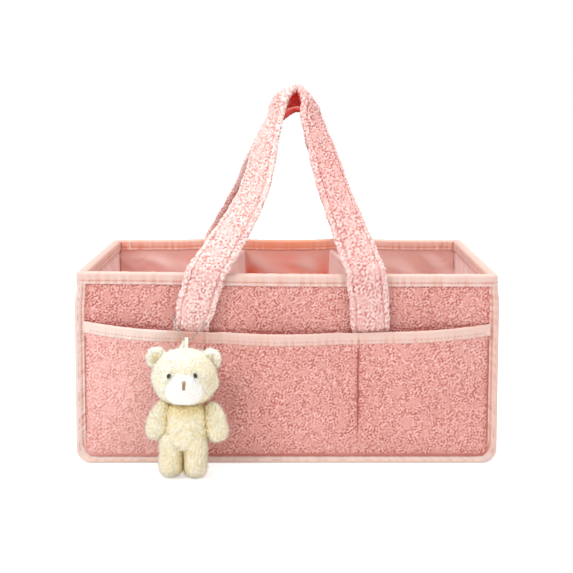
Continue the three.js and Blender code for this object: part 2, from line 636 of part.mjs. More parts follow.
// A divider: a lined board with a round top edge, and a flange at each end that carries a patch of hook tape.
function addDivider(name, side) {
  const hookY = HALF_DEPTH - WALL_INSIDE - 2 * CLEARANCE - LOOP_TAPE - HOOK_TAPE;
  const end = hookY - CLEARANCE;
  const foot = FLOOR_LINING_TOP + CLEARANCE;
  const top = TUB_HEIGHT - DIVIDER_BELOW_RIM;
  const r = DIVIDER_THICKNESS / 2;
  const section = new THREE.Shape()
    .moveTo(-r, foot)
    .lineTo(r, foot)
    .lineTo(r, top - r)
    .absarc(0, top - r, r, 0, Math.PI)
    .closePath();
  const [low, high] = [LOOP_TAPE_CENTRE - LOOP_TAPE_HEIGHT / 2, LOOP_TAPE_CENTRE + LOOP_TAPE_HEIGHT / 2];
  const w = HOOK_TAPE_WIDTH / 2;
  const middle = (DIVIDER_FRONT_X + DIVIDER_BACK_X) / 2;
  const aside = side * (DIVIDER_FRONT_X - middle); // of the front end, and as much the other way at the back
  const plate = (s, y0, y1) => slab(-w, w, Math.min(s * y0, s * y1), Math.max(s * y0, s * y1), low, high);
  const atEnd = (s, y0, y1) => plate(s, y0, y1).translate(-s * aside, 0, 0);
  const slant = new THREE.Matrix4().makeShear(0, 0, -aside / end, 0, 0, 0);
  const panel = prismAlongY(section, -end, end).applyMatrix4(slant);
  const flanges = [-1, 1].map((s) => atEnd(s, end - DIVIDER_FLANGE, end));
  const group = new THREE.Group();
  group.position.x = side * middle;
  addPiece(group, name, join(panel, ...flanges), lining);
  addPiece(group, name + "_front_hook_tape", atEnd(-1, hookY, hookY + HOOK_TAPE), hookTape);
  addPiece(group, name + "_back_hook_tape", atEnd(1, hookY, hookY + HOOK_TAPE), hookTape);
  caddy.add(group);
}

// Charm: the chain's middle on the strap, and the lowest point of its middle line, where the ribbon hangs.
const chainZ = POCKET_HEIGHT + CHAIN_ABOVE_MOUTH;
const chainStrap = strapFoot(chainZ, LEFT_FOOT_X, LEFT_RIM_X);
const chainBottom = point(
  chainStrap.x + CHAIN_SHIFT,
  PANEL_Y - chainStrap.out - chainStrap.half - CHAIN_REACH,
  chainZ - CHAIN_DROP,
);

function chainPath() {
  const side = STRAP_WIDTH / 2 + CHAIN_SIDE_ROOM;
  const behind = PANEL_Y - STRAP_STAND_OFF / 2;
  const middle = PANEL_Y - chainStrap.out;
  const ahead = middle - chainStrap.half - BALL_DIAMETER;
  const half = [
    [RIBBON_WIDTH, chainBottom.y, chainBottom.z, 1],
    [side * 0.6, mix(chainBottom.y, ahead, 0.55), mix(chainBottom.z, chainZ, 0.45), 0.5],
    [side * 0.98, ahead, mix(chainBottom.z, chainZ, 0.85), 0],
    [side, middle, chainZ, 0],
    [side * 0.88, behind, chainZ, 0],
    [side * 0.3, behind, chainZ, 0],
  ];
  const acrossAt = (x, shift) => chainStrap.x + x + shift * CHAIN_SHIFT;
  const placed = (s) => half.map(([x, y, z, shift]) => point(acrossAt(s * x, shift), y, z));
  const right = placed(1);
  const left = placed(-1).reverse();
  return new THREE.CatmullRomCurve3([...right, ...left], true, "catmullrom", 0.4);
}

// The ball chain is one tube that swells to a ball at every pitch. Its ends meet in a coupling, out of sight.
function addChain() {
  const path = chainPath();
  path.arcLengthDivisions = 400;
  const count = Math.round(path.getLength() / BALL_PITCH);
  const swell = [
    [0, 1],
    [0.22, 0.8],
    [0.5, CHAIN_ROD_DIAMETER / BALL_DIAMETER],
    [0.78, 0.8],
  ];
  const rings = Array.from({ length: count }, (_, i) => swell.map(([s, r]) => [(i + s) / count, r])).flat();
  const section = Array.from({ length: CHAIN_SIDES }, (_, k) => {
    const a = (2 * Math.PI * k) / CHAIN_SIDES;
    return new THREE.Vector2(Math.cos(a), Math.sin(a));
  });
  const up = point(0, 0, 1);
  const stations = rings.map(([share, radius]) => {
    const centre = path.getPointAt(share);
    const along = path.getTangentAt(share);
    const across = up.clone().cross(along).normalize();
    const over = along.clone().cross(across);
    const r = (radius * BALL_DIAMETER) / 2;
    return (p) => centre.clone().addScaledVector(across, p.x * r).addScaledVector(over, p.y * r);
  });
  // The coupling is a short sleeve over the two end balls, in the middle of the stretch behind the strap.
  const couplingAt = path.getPointAt(0.5);
  const sleeve = new THREE.CylinderGeometry(COUPLING_DIAMETER / 2, COUPLING_DIAMETER / 2, COUPLING_LENGTH, 8);
  sleeve.rotateZ(Math.PI / 2).translate(...couplingAt.toArray());
  const room = new THREE.CylinderGeometry(
    COUPLING_DIAMETER / 2 + CLEARANCE,
    COUPLING_DIAMETER / 2 + CLEARANCE,
    COUPLING_LENGTH + 2 * CLEARANCE,
    8,
  );
  room.rotateZ(Math.PI / 2).translate(...couplingAt.toArray());
  addPiece(caddy, "charm_chain", cut(loft(section, stations, { ring: true }), room), steel);
  addPiece(caddy, "charm_chain_coupling", sleeve, steel);
}

// Bear, built about its own middle line with the soles at zero, facing -Y.
const headProfile = [
  [0, -0.5],
  [0.55, -0.46],
  [0.87, -0.3],
  [1, -0.06],
  [0.94, 0.16],
  [0.74, 0.34],
  [0.4, 0.46],
  [0, 0.5],
];
const torsoProfile = [
  [0, 0],
  [0.6, 0.04],
  [0.97, 0.22],
  [1, 0.42],
  [0.93, 0.66],
  [0.78, 0.85],
  [0, 1],
];
const limbProfile = [
  [0, -0.5],
  [0.62, -0.46],
  [1, -0.26],
  [0.98, 0.02],
  [0.78, 0.3],
  [0.42, 0.47],
  [0, 0.5],
];
const legProfile = [
  [0, -0.5],
  [0.6, -0.47],
  [0.93, -0.33],
  [1, -0.1],
  [0.99, 0.15],
  [0.86, 0.36],
  [0.48, 0.47],
  [0, 0.5],
];
const ballProfile = [
  [0, -0.5],
  [0.5, -0.433],
  [0.866, -0.25],
  [1, 0],
  [0.866, 0.25],
  [0.5, 0.433],
  [0, 0.5],
];

function addBear() {
  const group = new THREE.Group();
  const headZ = BEAR_HEIGHT - HEAD_HEIGHT / 2;
  const place = (geometry, x, y, z) => geometry.clone().translate(x, y, z);
  const ball = (w, d, h) => stuffed(ballProfile, w, d, h);

  const head = place(stuffed(headProfile, HEAD_WIDTH, HEAD_DEPTH, HEAD_HEIGHT), 0, 0, headZ);
  const headRoom = grown(head);
  addPiece(group, "bear_head", head, plush);

  const torso = place(stuffed(torsoProfile, TORSO_WIDTH, TORSO_DEPTH, TORSO_HEIGHT), TORSO_ASIDE, 0, TORSO_BOTTOM);
  const torsoRoom = grown(torso);
  addPiece(group, "bear_torso", cut(torso, headRoom), plush);

  const muzzleY = -HEAD_DEPTH / 2 + MUZZLE_DEPTH / 4;
  const muzzleZ = headZ - MUZZLE_BELOW_HEAD_CENTRE;
  const muzzle = place(ball(MUZZLE_WIDTH, MUZZLE_DEPTH, MUZZLE_HEIGHT), MUZZLE_ASIDE, muzzleY, muzzleZ);
  addPiece(group, "bear_muzzle", cut(muzzle, headRoom, torsoRoom), muzzlePlush);

  const noseZ = muzzleZ + MUZZLE_HEIGHT * NOSE_LEVEL;
  const noseY = muzzleY - (MUZZLE_DEPTH / 2) * Math.sqrt(1 - (2 * NOSE_LEVEL) ** 2) - NOSE_PROUD / 2;
  const nose = place(ball(NOSE_WIDTH, 3 * NOSE_PROUD, NOSE_HEIGHT), MUZZLE_ASIDE, noseY, noseZ);
  addPiece(group, "bear_nose", cut(nose, grown(muzzle)), brownThread);

  for (const [name, side] of [
    ["left", -1],
    ["right", 1],
  ]) {
    const ear = ball(EAR_WIDTH, EAR_DEPTH, EAR_WIDTH);
    const earX = side * EAR_SPREAD + EAR_ASIDE;
    const cutEar = cut(place(ear, earX, EAR_BACK, headZ + EAR_ABOVE_HEAD_CENTRE), headRoom);
    addPiece(group, `bear_${name}_ear`, cutEar, plush);

    const eyeZ = headZ + EYE_ABOVE_HEAD_CENTRE;
    const level = 1 - (EYE_SPREAD / (HEAD_WIDTH / 2)) ** 2 - (EYE_ABOVE_HEAD_CENTRE / (HEAD_HEIGHT / 2)) ** 2;
    const eyeY = (-HEAD_DEPTH / 2) * Math.sqrt(level) - EYE_WIDTH / 8;
    const eye = place(ball(EYE_WIDTH, EYE_WIDTH, EYE_HEIGHT), side * EYE_SPREAD, eyeY, eyeZ);
    addPiece(group, `bear_${name}_eye`, cut(eye, headRoom, grown(muzzle)), blackPlastic);

    const legAt = [side * LEG_SPREAD, -LEG_FORWARD, LEG_LENGTH / 2];
    const leg = place(stuffed(legProfile, LEG_WIDTH, LEG_DEPTH, LEG_LENGTH), ...legAt);
    addPiece(group, `bear_${name}_leg`, cut(leg, torsoRoom, headRoom), plush);

    const arm = stuffed(limbProfile, ARM_WIDTH, ARM_WIDTH, ARM_LENGTH).rotateY(side * -ARM_TILT);
    const armPlaced = place(arm, side * ARM_SPREAD + ARM_ASIDE, -ARM_FORWARD, ARM_CENTRE);
    addPiece(group, `bear_${name}_arm`, cut(armPlaced, torsoRoom, headRoom, grown(leg)), plush);
  }

  // The path closes across the ribbon, so its last span is the one that the ribbon hangs on.
  const path = chainPath();
  const hold = path.getPoint(1 - 0.5 / path.points.length);
  const hang = BEAR_CROWN_DROP + BEAR_HEIGHT;
  const soles = point(chainBottom.x - hang * Math.sin(BEAR_TILT), hold.y - BEAR_AHEAD, hold.z - hang);
  const ribbon = ribbonLoop(hold.y - soles.y, hold.z - soles.z);
  addPiece(group, "charm_ribbon", cut(ribbon, headRoom), ribbonSatin);
  group.rotation.y = BEAR_TILT;
  group.position.copy(soles);
  caddy.add(group);
}

// Ribbon sewn into the crown and folded round the chain, in the bear's own frame.
function ribbonLoop(chainY, chainHeight) {
  const inside = BALL_DIAMETER / 2 + RIBBON_ROOM;
  const crown = new THREE.Vector2(chainY - RIBBON_SLOPE, BEAR_HEIGHT - RIBBON_SEWN_DEPTH);
  const link = (r) => {
    const lean = Math.atan2(chainHeight - crown.y, chainY - crown.x);
    return new THREE.Shape()
      .absarc(chainY, chainHeight, r, lean - 0.5 * Math.PI, lean + 0.5 * Math.PI)
      .absarc(crown.x, crown.y, r, lean + 0.5 * Math.PI, lean + 1.5 * Math.PI)
      .closePath();
  };
  const shape = link(inside + RIBBON);
  shape.holes.push(link(inside));
  const options = { depth: RIBBON_WIDTH, bevelEnabled: false, curveSegments: CURVE_SEGMENTS };
  const strip = new THREE.ExtrudeGeometry(shape, options).translate(0, 0, -RIBBON_WIDTH / 2);
  // The shape is drawn in Y and Z: turn its first axis to Y, its second to Z and its depth to X.
  return strip.applyMatrix4(new THREE.Matrix4().makeBasis(point(0, 1, 0), point(0, 0, 1), point(1, 0, 0)));
}

addLongSide("front", false, { rise: FRONT_APEX_RISE, left: FRONT_LEFT_LEG, right: FRONT_RIGHT_LEG });
addLongSide("back", true, { rise: BACK_APEX_RISE, left: BACK_LEFT_LEG, right: BACK_RIGHT_LEG });
addEndWall("left", -1);
addEndWall("right", 1);
addBase();
addRimTapes();
addDivider("left_divider", -1);
addDivider("right_divider", 1);
addChain();
addBear();

export default caddy;
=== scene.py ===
"""Looks of the fleece diaper caddy: curly pile, puckered tapes, satin lining, stuffed handles and the bear.

Pieces are worked out in millimetres on numpy grids and become meshes in metres, in the frame's own axes:
+X to the right, -Y to the front, +Z up, with the floor at zero.
"""
import json
import math

import bpy
import numpy as np
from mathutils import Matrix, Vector


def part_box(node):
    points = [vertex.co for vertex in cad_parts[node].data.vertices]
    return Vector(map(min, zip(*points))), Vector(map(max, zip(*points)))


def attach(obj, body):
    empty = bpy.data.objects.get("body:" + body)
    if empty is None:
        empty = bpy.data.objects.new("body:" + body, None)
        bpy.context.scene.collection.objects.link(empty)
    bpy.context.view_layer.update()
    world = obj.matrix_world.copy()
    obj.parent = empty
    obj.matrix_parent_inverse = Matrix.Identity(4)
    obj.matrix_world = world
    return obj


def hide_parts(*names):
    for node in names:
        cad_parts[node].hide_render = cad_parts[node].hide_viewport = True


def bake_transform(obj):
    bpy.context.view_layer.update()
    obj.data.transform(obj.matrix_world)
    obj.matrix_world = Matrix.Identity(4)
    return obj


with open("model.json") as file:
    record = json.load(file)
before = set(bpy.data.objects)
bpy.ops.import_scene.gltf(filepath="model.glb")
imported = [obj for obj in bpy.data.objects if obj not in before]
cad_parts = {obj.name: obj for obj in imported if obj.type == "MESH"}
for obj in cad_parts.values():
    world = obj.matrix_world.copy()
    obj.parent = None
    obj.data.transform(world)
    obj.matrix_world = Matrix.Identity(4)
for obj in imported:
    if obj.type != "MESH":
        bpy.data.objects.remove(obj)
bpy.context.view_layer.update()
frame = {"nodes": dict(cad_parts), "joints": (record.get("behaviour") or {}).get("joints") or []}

MM = 0.001


def box_mm(node):
    low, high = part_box(node)
    return np.array(low) / MM, np.array(high) / MM


# Places taken from the frame
EDGE_LOW, EDGE_HIGH = box_mm("front_edge_tape")
RIM_LOW, RIM_HIGH = box_mm("front_rim_tape")
PANEL_LOW, PANEL_HIGH = box_mm("front_outer_panel")
LINING_LOW, LINING_HIGH = box_mm("front_lining")
END_LINING_LOW, END_LINING_HIGH = box_mm("right_lining")
FLOOR_LOW, FLOOR_HIGH = box_mm("base_lining")
HALF_WIDTH = EDGE_HIGH[0]
HALF_DEPTH = -EDGE_LOW[1]
RIM_TOP = RIM_HIGH[2]
RIM_FOOT = RIM_LOW[2]
RIM_DROP = RIM_TOP - RIM_FOOT
RIM_WIDTH = RIM_HIGH[1] - RIM_LOW[1]
CLOTH_TOP = RIM_TOP - 4.5  # the walls' cloth ends inside the rim tape
PANEL_Y = PANEL_LOW[1]
FLEECE = PANEL_HIGH[1] - PANEL_LOW[1]
FLEECE_INSET = HALF_DEPTH + PANEL_Y
PIVOTS = {j["child"]: np.array(j["pos_m"]) / MM for j in frame["joints"] if "handle" in j["name"]}

# Pile
FLEECE_STEP = 0.62  # between points of a fleece surface
END_STEP = 0.75
CURL_WIDTH = 2.9
CURL_HEIGHT = 1.0
STRAP_CURL_WIDTH = 3.6
STRAP_CURL_HEIGHT = 1.2
CURL_BANDS = ((1, 1), (2, 0.4), (4, 0.22))  # waves of so many curls' widths, and their shares
CLUMP_WIDTHS = 6  # tufts of curls are this many curls wide
BACK_FACTOR = 4  # the hidden side of a fleece sheet has this many times fewer points each way
PRESSED_TONE = 0.4  # of fleece without pile
BACK_TONE = 0.5  # of its hidden side
PILE_FOOT = 0.5  # the pile stands on a face this far inside the CAD panel's
HIDDEN_TOP = 100.0  # below this the long walls lie behind the pockets
WALL_SWELL = 55.0  # width of the soft swells in a long wall

# Tapes
TAPE = 0.8
TAPE_STEP = 0.9
TAPE_FACE = 9.0  # width of the edge tape on a long side
FACE_HALF = HALF_WIDTH - TAPE_FACE  # half of a long side's face between its edge tapes
CORNER_RADIUS = 13.0  # outer bottom corners
FLEECE_CORNER = CORNER_RADIUS - FLEECE_INSET
CORNER_POINTS = 24  # of the edge tape round each corner
INNER_CORNER_RADIUS = 15.0  # inner edge of the tape at the bottom corners
PUCKER = 0.34  # height of the tapes' puckers
RIM_PUCKER_WIDTH = 7.5
EDGE_PUCKER_WIDTH = 8.0
POCKET_PUCKER_WIDTH = 6.5
RIM_CORNER_RADIUS = 8.5
CORNER_TACKS = (169.0, 179.6)  # upright rows of stitches at the back corners
STITCH_PITCH = 3.0
STITCH_LENGTH = 1.7
STITCH_RADIUS = 0.3
STITCH_INSET = 3.1  # from the edge of the tape
EDGE_STITCH_INSET = 2.4  # the same on the edge tape
EDGE_FOLD = 3.4  # radius of the edge tape's fold
RIM_FOLD = 2.6  # and of the rim tape's
FRONT_RIM_LEFT = 1.0  # the soft front rim lies this much above its straight line at its left end
FRONT_RIM_SAG = 2.5  # and sinks this much towards its middle
BACK_RIM_LIFT = 1.0
STRAP_PULL = 2.0  # the back rim rises where the straps pull on it
FLARE_LEFT = 3.4  # the soft ends stand out at the bottom
FLARE_RIGHT = 2.0

# Outside pockets
MOUTH_Z = 122.7
MOUTH_LEFT_RISE = 10.2
MOUTH_RIGHT_RISE = 7.4
MOUTH_POWER = 2.05
POCKET_BULGE = 10.0
POCKET_SWELL = 48.0
POCKET_FLEECE = 3.0
POCKET_HEM = 1.4
POCKET_TAPE_DROP = 10.5
SEAMS = (-74.0, 64.0)

# Lining and dividers
LINING_STEP = 2.5
LINING_FOLD = 34.0  # width of the lining's folds
LINING_CREASE = 15.0
DIVIDER_STEP = 2.0
DIVIDER_SWELL = 60.0
DIVIDER_HALF = 2.5  # half of a divider's thickness
DIVIDER_ROUNDING = 2.4
DIVIDER_BOW = 7.0  # their free top edges sag towards the tub's ends
DIVIDER_LEAN = 2.5

# Handles
STRAP_WIDTH = 36.0
STRAP_THICKNESS = 9.0
STRAP_SEWN_THICKNESS = 4.4
STRAP_STEP = 0.78  # between points of its surface
LOOP_POINTS = 1200  # of the loop's line and of a foot's, before they are spaced evenly
FOOT_POINTS = 299
STRAP_LUMP = 30.0  # width of the lumps in its stuffing
STRAP_ROOM = 1.0  # the curls stand out from the strap this much
SEWN_INSET = 5.2  # of the sewn line from the strap's edge
FOOT_Z = 90.7
STRAP_X = {"left": (-90.0, -72.0), "right": (76.5, 70.0)}  # at the foot and at the rim
STRAP_STAND_OFF = 3.4
STRAP_RIM_STAND_OFF = 2.5
APEX_TILT = math.radians(27)
APEX_Y = -18.6
FOLD_DROP = 28.0
TWIST_POWER = (1.3, 1.05)  # the quarter turn of each leg is quicker near the rim
ARCH_DROP = 9.0  # of the round part at the very top
ARCH_HALF = (13.0, 9.2)
FOLD_BULGE = (7.5, 3.2)  # the stuffing is pressed outwards beside the fold
FOLD_FILLING = 5.6  # and down under it, on the front handle
LOOPS = {  # top of each handle: place, rise above the pivot, spread of the left and the right leg, inward bow
    "front": {"apex_x": 10.2, "rise": 157.0, "spread": (24.8, 15.2), "bow": (10.2, 2.0)},
    "back": {"apex_x": 10.2, "rise": 148.0, "spread": (29.2, 17.8), "bow": (3.0, 2.0)},
}

# Charm
BEAR_LEAN = math.radians(1.5)
HOLD_HEIGHT = 119.0  # of the ribbon's loop over the bear's soles
HOLD_AHEAD = 14.0
PLUSH_TUFT = 2.6  # width of the tufts
PLUSH_PILE = 1.1
PLUSH_ROOM = 0.8  # the hairs stand out from the skin about this much
HEAD_Z = 89.25  # middle of the head over the soles
HAIR_LENGTH = 3.0
MUZZLE_PILE = 0.5
MUZZLE_HAIR_LENGTH = 0.8
HAIR_GIRTH = 0.16
FLOOR_GAP = 0.2  # the soles stay over the floor
RIBBON_HOLD = (-149.4, 120.5)  # y and z of the chain's lowest ball
RIBBON_CROWN = (-156.3, 109.5)  # and of the seam on the bear's head
RIBBON_RADIUS = 1.75
RIBBON_THICKNESS = 0.55
RIBBON_SPREAD = 8.2  # the ribbon's front end is sewn in beside its back end
RIBBON_SECTION = ((-1, -0.6), (-0.97, -1), (0, -1.15), (0.97, -1), (1, -0.6),
                  (1, 0.6), (0.97, 1), (0, 0.9), (-0.97, 1), (-1, 0.6))
BALL_RADIUS = 0.95
BALL_PITCH = 2.9
LINK_RADIUS = 0.25
COUPLING_OUTLINE = (  # shares of its length and radius
    (-0.5, 0.6), (-0.48, 0.9), (-0.42, 1), (-0.1, 1), (-0.06, 0.9),
    (0.06, 0.9), (0.1, 1), (0.42, 1), (0.48, 0.9), (0.5, 0.6),
)
CHAIN_Z = 136.0  # where the chain goes round the strap
CHAIN_X = -84.0
CHAIN_PRESS = (14.0, 7.0)  # half the width and height of the wall that the strap presses flat there
CHAIN_SHIFT = -4.7  # the chain hangs a little towards the tub's end
CHAIN_LEFT = [  # from the ribbon to the strap's back: aside, y, z and share of the shift
    (2.5, -149.3, 120.8, 1.0),
    (8.2, -144.2, 124.6, 0.6),
    (14.8, -137.5, 131.2, 0.1),
    (18.0, -132.0, 137.5, 0.0),
    (15.5, -125.6, 136.5, 0.0),
    (6.1, -125.6, 136.0, 0.0),
]
CHAIN_RIGHT = [  # it sinks into the strap's soft edge
    (3.2, -149.3, 121.0, 1.0),
    (7.2, -143.0, 126.5, 0.5),
    (10.5, -135.8, 131.3, 0.0),
    (13.0, -130.8, 133.6, 0.0),
    (14.5, -126.6, 135.5, 0.0),
    (6.1, -125.6, 136.0, 0.0),
]

# Stage, in metres
WHITE = (1, 1, 1, 1)
WORLD_TINT = (1, 0.99, 0.985, 1)
WORLD_LEVEL = 0.7
FLOOR_GREY = 0.86
FLOOR_GLOW = 0.56  # the camera sees the floor this much brighter, so that it is as white as the world
FLOOR_Z = -0.0002
LAMPS = (  # name, place, width and power in watts
    ("key", (-1.5, -1.7, 1.7), 1.3, 21),
    ("fill", (1.8, -1.5, 1.0), 1.8, 4),
    ("top", (0, 0.1, 1.8), 1.2, 19),
)
LAMP_TARGET = (0, 0, 0.14)
CAMERA_PLACE = (-0.0007, -1.225, 0.337)  # solved with its tilt and lens from the corners of rim and base
CAMERA_TILT = math.radians(90 - 8.93)
SENSOR_WIDTH = 36.0
LENS_SHARE = 1243 / 573  # focal length over the picture's width


# Small maths

def smoothstep(x, low, high):
    """Zero below low, rising smoothly to one at high."""
    t = np.clip((x - low) / (high - low), 0, 1)
    return t * t * (3 - 2 * t)


def mix(a, b, t):
    return a + (b - a) * t


def falling(x, low, high):
    """One below low, sinking to zero at high."""
    return 1 - smoothstep(x, low, high)


def hump(x, width, power=2):
    """One where x is zero, sinking to nothing not far beyond a width."""
    return np.exp(-((x / width) ** power))


def full_turn(count):
    return np.linspace(0, 2 * np.pi, count, endpoint=False)


def points_at(*coordinates):
    """Points from their coordinates, which are numbers or arrays that fit together."""
    return np.stack(np.broadcast_arrays(*coordinates), -1)


def unit(vectors):
    return vectors / np.maximum(np.linalg.norm(vectors, axis=-1, keepdims=True), 1e-12)


def banded_noise(shape, steps, wavelength, seed, spread=0.5, lean=None, lean_spread=0.5):
    """Random waves of about one wavelength on a grid that repeats at its edges, with a deviation of one.

    steps are the lengths from row to row and from column to column, or one number for both. lean is the
    direction in which the waves run, as an angle from the columns' axis. Without it they run every way.
    """
    rng = np.random.default_rng(seed)
    row_step, column_step = np.broadcast_to(steps, 2)
    across = np.fft.fftfreq(shape[1], column_step)[None, :]
    up = np.fft.fftfreq(shape[0], row_step)[:, None]
    frequency = np.hypot(up, across)
    band = hump(frequency * wavelength - 1, spread)
    if lean is not None:
        off = np.angle(np.exp(2j * (np.arctan2(up, across) - lean))) / 2
        band = band * hump(off, lean_spread)
    wave = np.fft.ifft2(np.fft.fft2(rng.standard_normal(shape)) * band).real
    return wave / wave.std()


def curls(shape, steps, width, seed):
    """Heights, from 0 to 1, of a pile of curls that wind about a width apart."""
    wave = sum(share * banded_noise(shape, steps, k * width, seed + k) for k, share in CURL_BANDS)
    clumps = banded_noise(shape, steps, CLUMP_WIDTHS * width, seed + 5)
    return smoothstep(wave * (0.9 + 0.3 * clumps), -2, 2)


def field(points, wavelength, seed, waves=40):
    """Random waves of about one wavelength through space, with a deviation of one."""
    rng = np.random.default_rng(seed)
    ways = unit(rng.normal(size=(waves, 3))) * rng.uniform(0.75, 1.3, (waves, 1))
    phases = rng.uniform(0, 2 * np.pi, waves)
    return np.sin(points @ ways.T * (2 * np.pi / wavelength) + phases).sum(-1) * math.sqrt(2 / waves)


def ripples(count, step, wavelength, seed):
    """Random puckers along a tape."""
    fine = banded_noise((1, count), step, wavelength, seed, 0.35)[0]
    broad = banded_noise((1, count), step, 2.6 * wavelength, seed + 1, 0.4)[0]
    return 0.7 * fine + 0.5 * broad


def grid_normals(points):
    return unit(np.cross(np.gradient(points, axis=1), np.gradient(points, axis=0)))


def ring_normals(rings):
    """Normals of a grid that closes on itself."""
    wrapped = np.concatenate([rings[:, -2:], rings, rings[:, :2]], 1)
    return grid_normals(wrapped)[:, 2:-2]


def catmull_rom(knots, shares):
    """Points of a centripetal Catmull-Rom curve, at shares from 0 to 1 that give each span the same part."""
    knots = np.asarray(knots, float)
    knots = np.vstack([2 * knots[0] - knots[1], knots, 2 * knots[-1] - knots[-2]])
    place = np.clip(np.asarray(shares) * (len(knots) - 3), 0, len(knots) - 3 - 1e-9)
    span = place.astype(int)
    p0, p1, p2, p3 = (knots[span + k] for k in range(4))
    spans = ((p0, p1), (p1, p2), (p2, p3))
    gap = [np.maximum(np.linalg.norm(b - a, axis=1, keepdims=True), 1e-9) ** 0.5 for a, b in spans]
    start = (p1 - p0) / gap[0] - (p2 - p0) / (gap[0] + gap[1]) + (p2 - p1) / gap[1]
    stop = (p2 - p1) / gap[1] - (p3 - p1) / (gap[1] + gap[2]) + (p3 - p2) / gap[2]
    start, stop = start * gap[1], stop * gap[1]
    t = (place - span)[:, None]
    rest = -3 * p1 + 3 * p2 - 2 * start - stop
    cubic = 2 * p1 - 2 * p2 + start + stop
    return p1 + start * t + rest * t**2 + cubic * t**3


def run_lengths(points):
    """The length along a polyline at each of its points."""
    return np.concatenate([[0], np.cumsum(np.linalg.norm(np.diff(points, axis=0), axis=1))])


def resampled(values, lengths, at):
    """Values along a polyline, from those at its points."""
    return np.stack([np.interp(at, lengths, column) for column in values.T], 1)


def evenly(points, step):
    """Points at even steps along a polyline."""
    lengths = run_lengths(points)
    count = max(int(round(lengths[-1] / step)), 2)
    return resampled(points, lengths, np.linspace(0, lengths[-1], count + 1))


# Meshes: a form is its points and groups of (faces, places of their corners on the surface map)

def grid_faces(rows, cols, first=0, ring=False):
    wide = cols if ring else cols - 1
    r, c = np.meshgrid(np.arange(rows - 1), np.arange(wide), indexing="ij")
    here, after = r * cols + c, r * cols + (c + 1) % cols
    faces = np.stack([here, after, after + cols, here + cols], -1).reshape(-1, 4) + first
    corners = [(c, r), (c + 1, r), (c + 1, r + 1), (c, r + 1)]
    places = np.stack([np.stack([u / wide, v / (rows - 1)], -1) for u, v in corners], 2)
    return faces, places.reshape(-1, 4, 2)


def on_map(places, low, high):
    return np.array(low) + places * (np.array(high) - np.array(low))


def border(rows, cols, first=0):
    """The points round the edge of a grid, in the order of its faces."""
    bottom = np.arange(cols - 1)
    right = np.arange(rows - 1) * cols + cols - 1
    top = (rows - 1) * cols + np.arange(cols - 1, 0, -1)
    left = np.arange(rows - 1, 0, -1) * cols
    return np.concatenate([bottom, right, top, left]) + first


def closed_sheet(outer, inner):
    """A sheet with two faces, each a grid of points. The outer grid is as fine as the inner one or finer."""
    rows, cols = outer.shape[:2]
    few_rows, few_cols = inner.shape[:2]
    factor = (cols - 1) // (few_cols - 1)
    first = rows * cols
    points = np.concatenate([outer.reshape(-1, 3), inner.reshape(-1, 3)])
    out_faces, out_places = grid_faces(rows, cols)
    in_faces, in_places = grid_faces(few_rows, few_cols, first)
    o, i = border(rows, cols), border(few_rows, few_cols, first)
    count = len(i)
    at = np.arange(count) * factor
    sides = [np.stack([o[(at + k + 1) % len(o)], o[at + k], i], 1) for k in range(factor)]
    sides.append(np.stack([o[(at + factor) % len(o)], i, np.roll(i, -1)], 1))
    side_faces = np.concatenate(sides)
    along = np.tile(np.arange(count) / count, factor + 1)
    side_places = np.stack([np.stack([along, np.full(len(along), v)], 1) for v in (0.0, 0.5, 1.0)], 1)
    side_places[:, 1, 0] += 0.5 / count
    return points, [
        (out_faces, on_map(out_places, (0, 0), (1, 0.7))),
        (in_faces[:, ::-1], on_map(in_places[:, ::-1], (0, 0.76), (1, 1))),
        (side_faces, on_map(side_places, (0, 0.71), (0.99, 0.75))),
    ]


def tube(rings):
    """A tube through rings of points, with its ends closed by one face each."""
    rows, cols = rings.shape[:2]
    faces, places = grid_faces(rows, cols, ring=True)
    turn = full_turn(cols)
    disc = 0.5 + 0.5 * points_at(np.cos(turn), np.sin(turn))
    start, stop = np.arange(cols)[::-1], (rows - 1) * cols + np.arange(cols)
    return rings.reshape(-1, 3), [
        (faces, on_map(places, (0, 0), (1, 0.96))),
        (start[None], on_map(disc[None, ::-1], (0, 0.965), (0.03, 1))),
        (stop[None], on_map(disc[None], (0.05, 0.965), (0.08, 1))),
    ]


def joined(forms):
    """Several forms as one. They share the map, each in a column of its own."""
    points, groups, first = [], [], 0
    for k, (form_points, form_groups) in enumerate(forms):
        points.append(form_points)
        low, high = (k / len(forms), 0), ((k + 0.97) / len(forms), 1)
        groups += [(faces + first, on_map(places, low, high)) for faces, places in form_groups]
        first += len(form_points)
    return np.concatenate(points), groups


def mirrored_faces(form):
    points, groups = form
    return points, [(faces[:, ::-1], places[:, ::-1]) for faces, places in groups]


def mirror_y(form):
    points, groups = mirrored_faces(form)
    return points * (1, -1, 1), groups


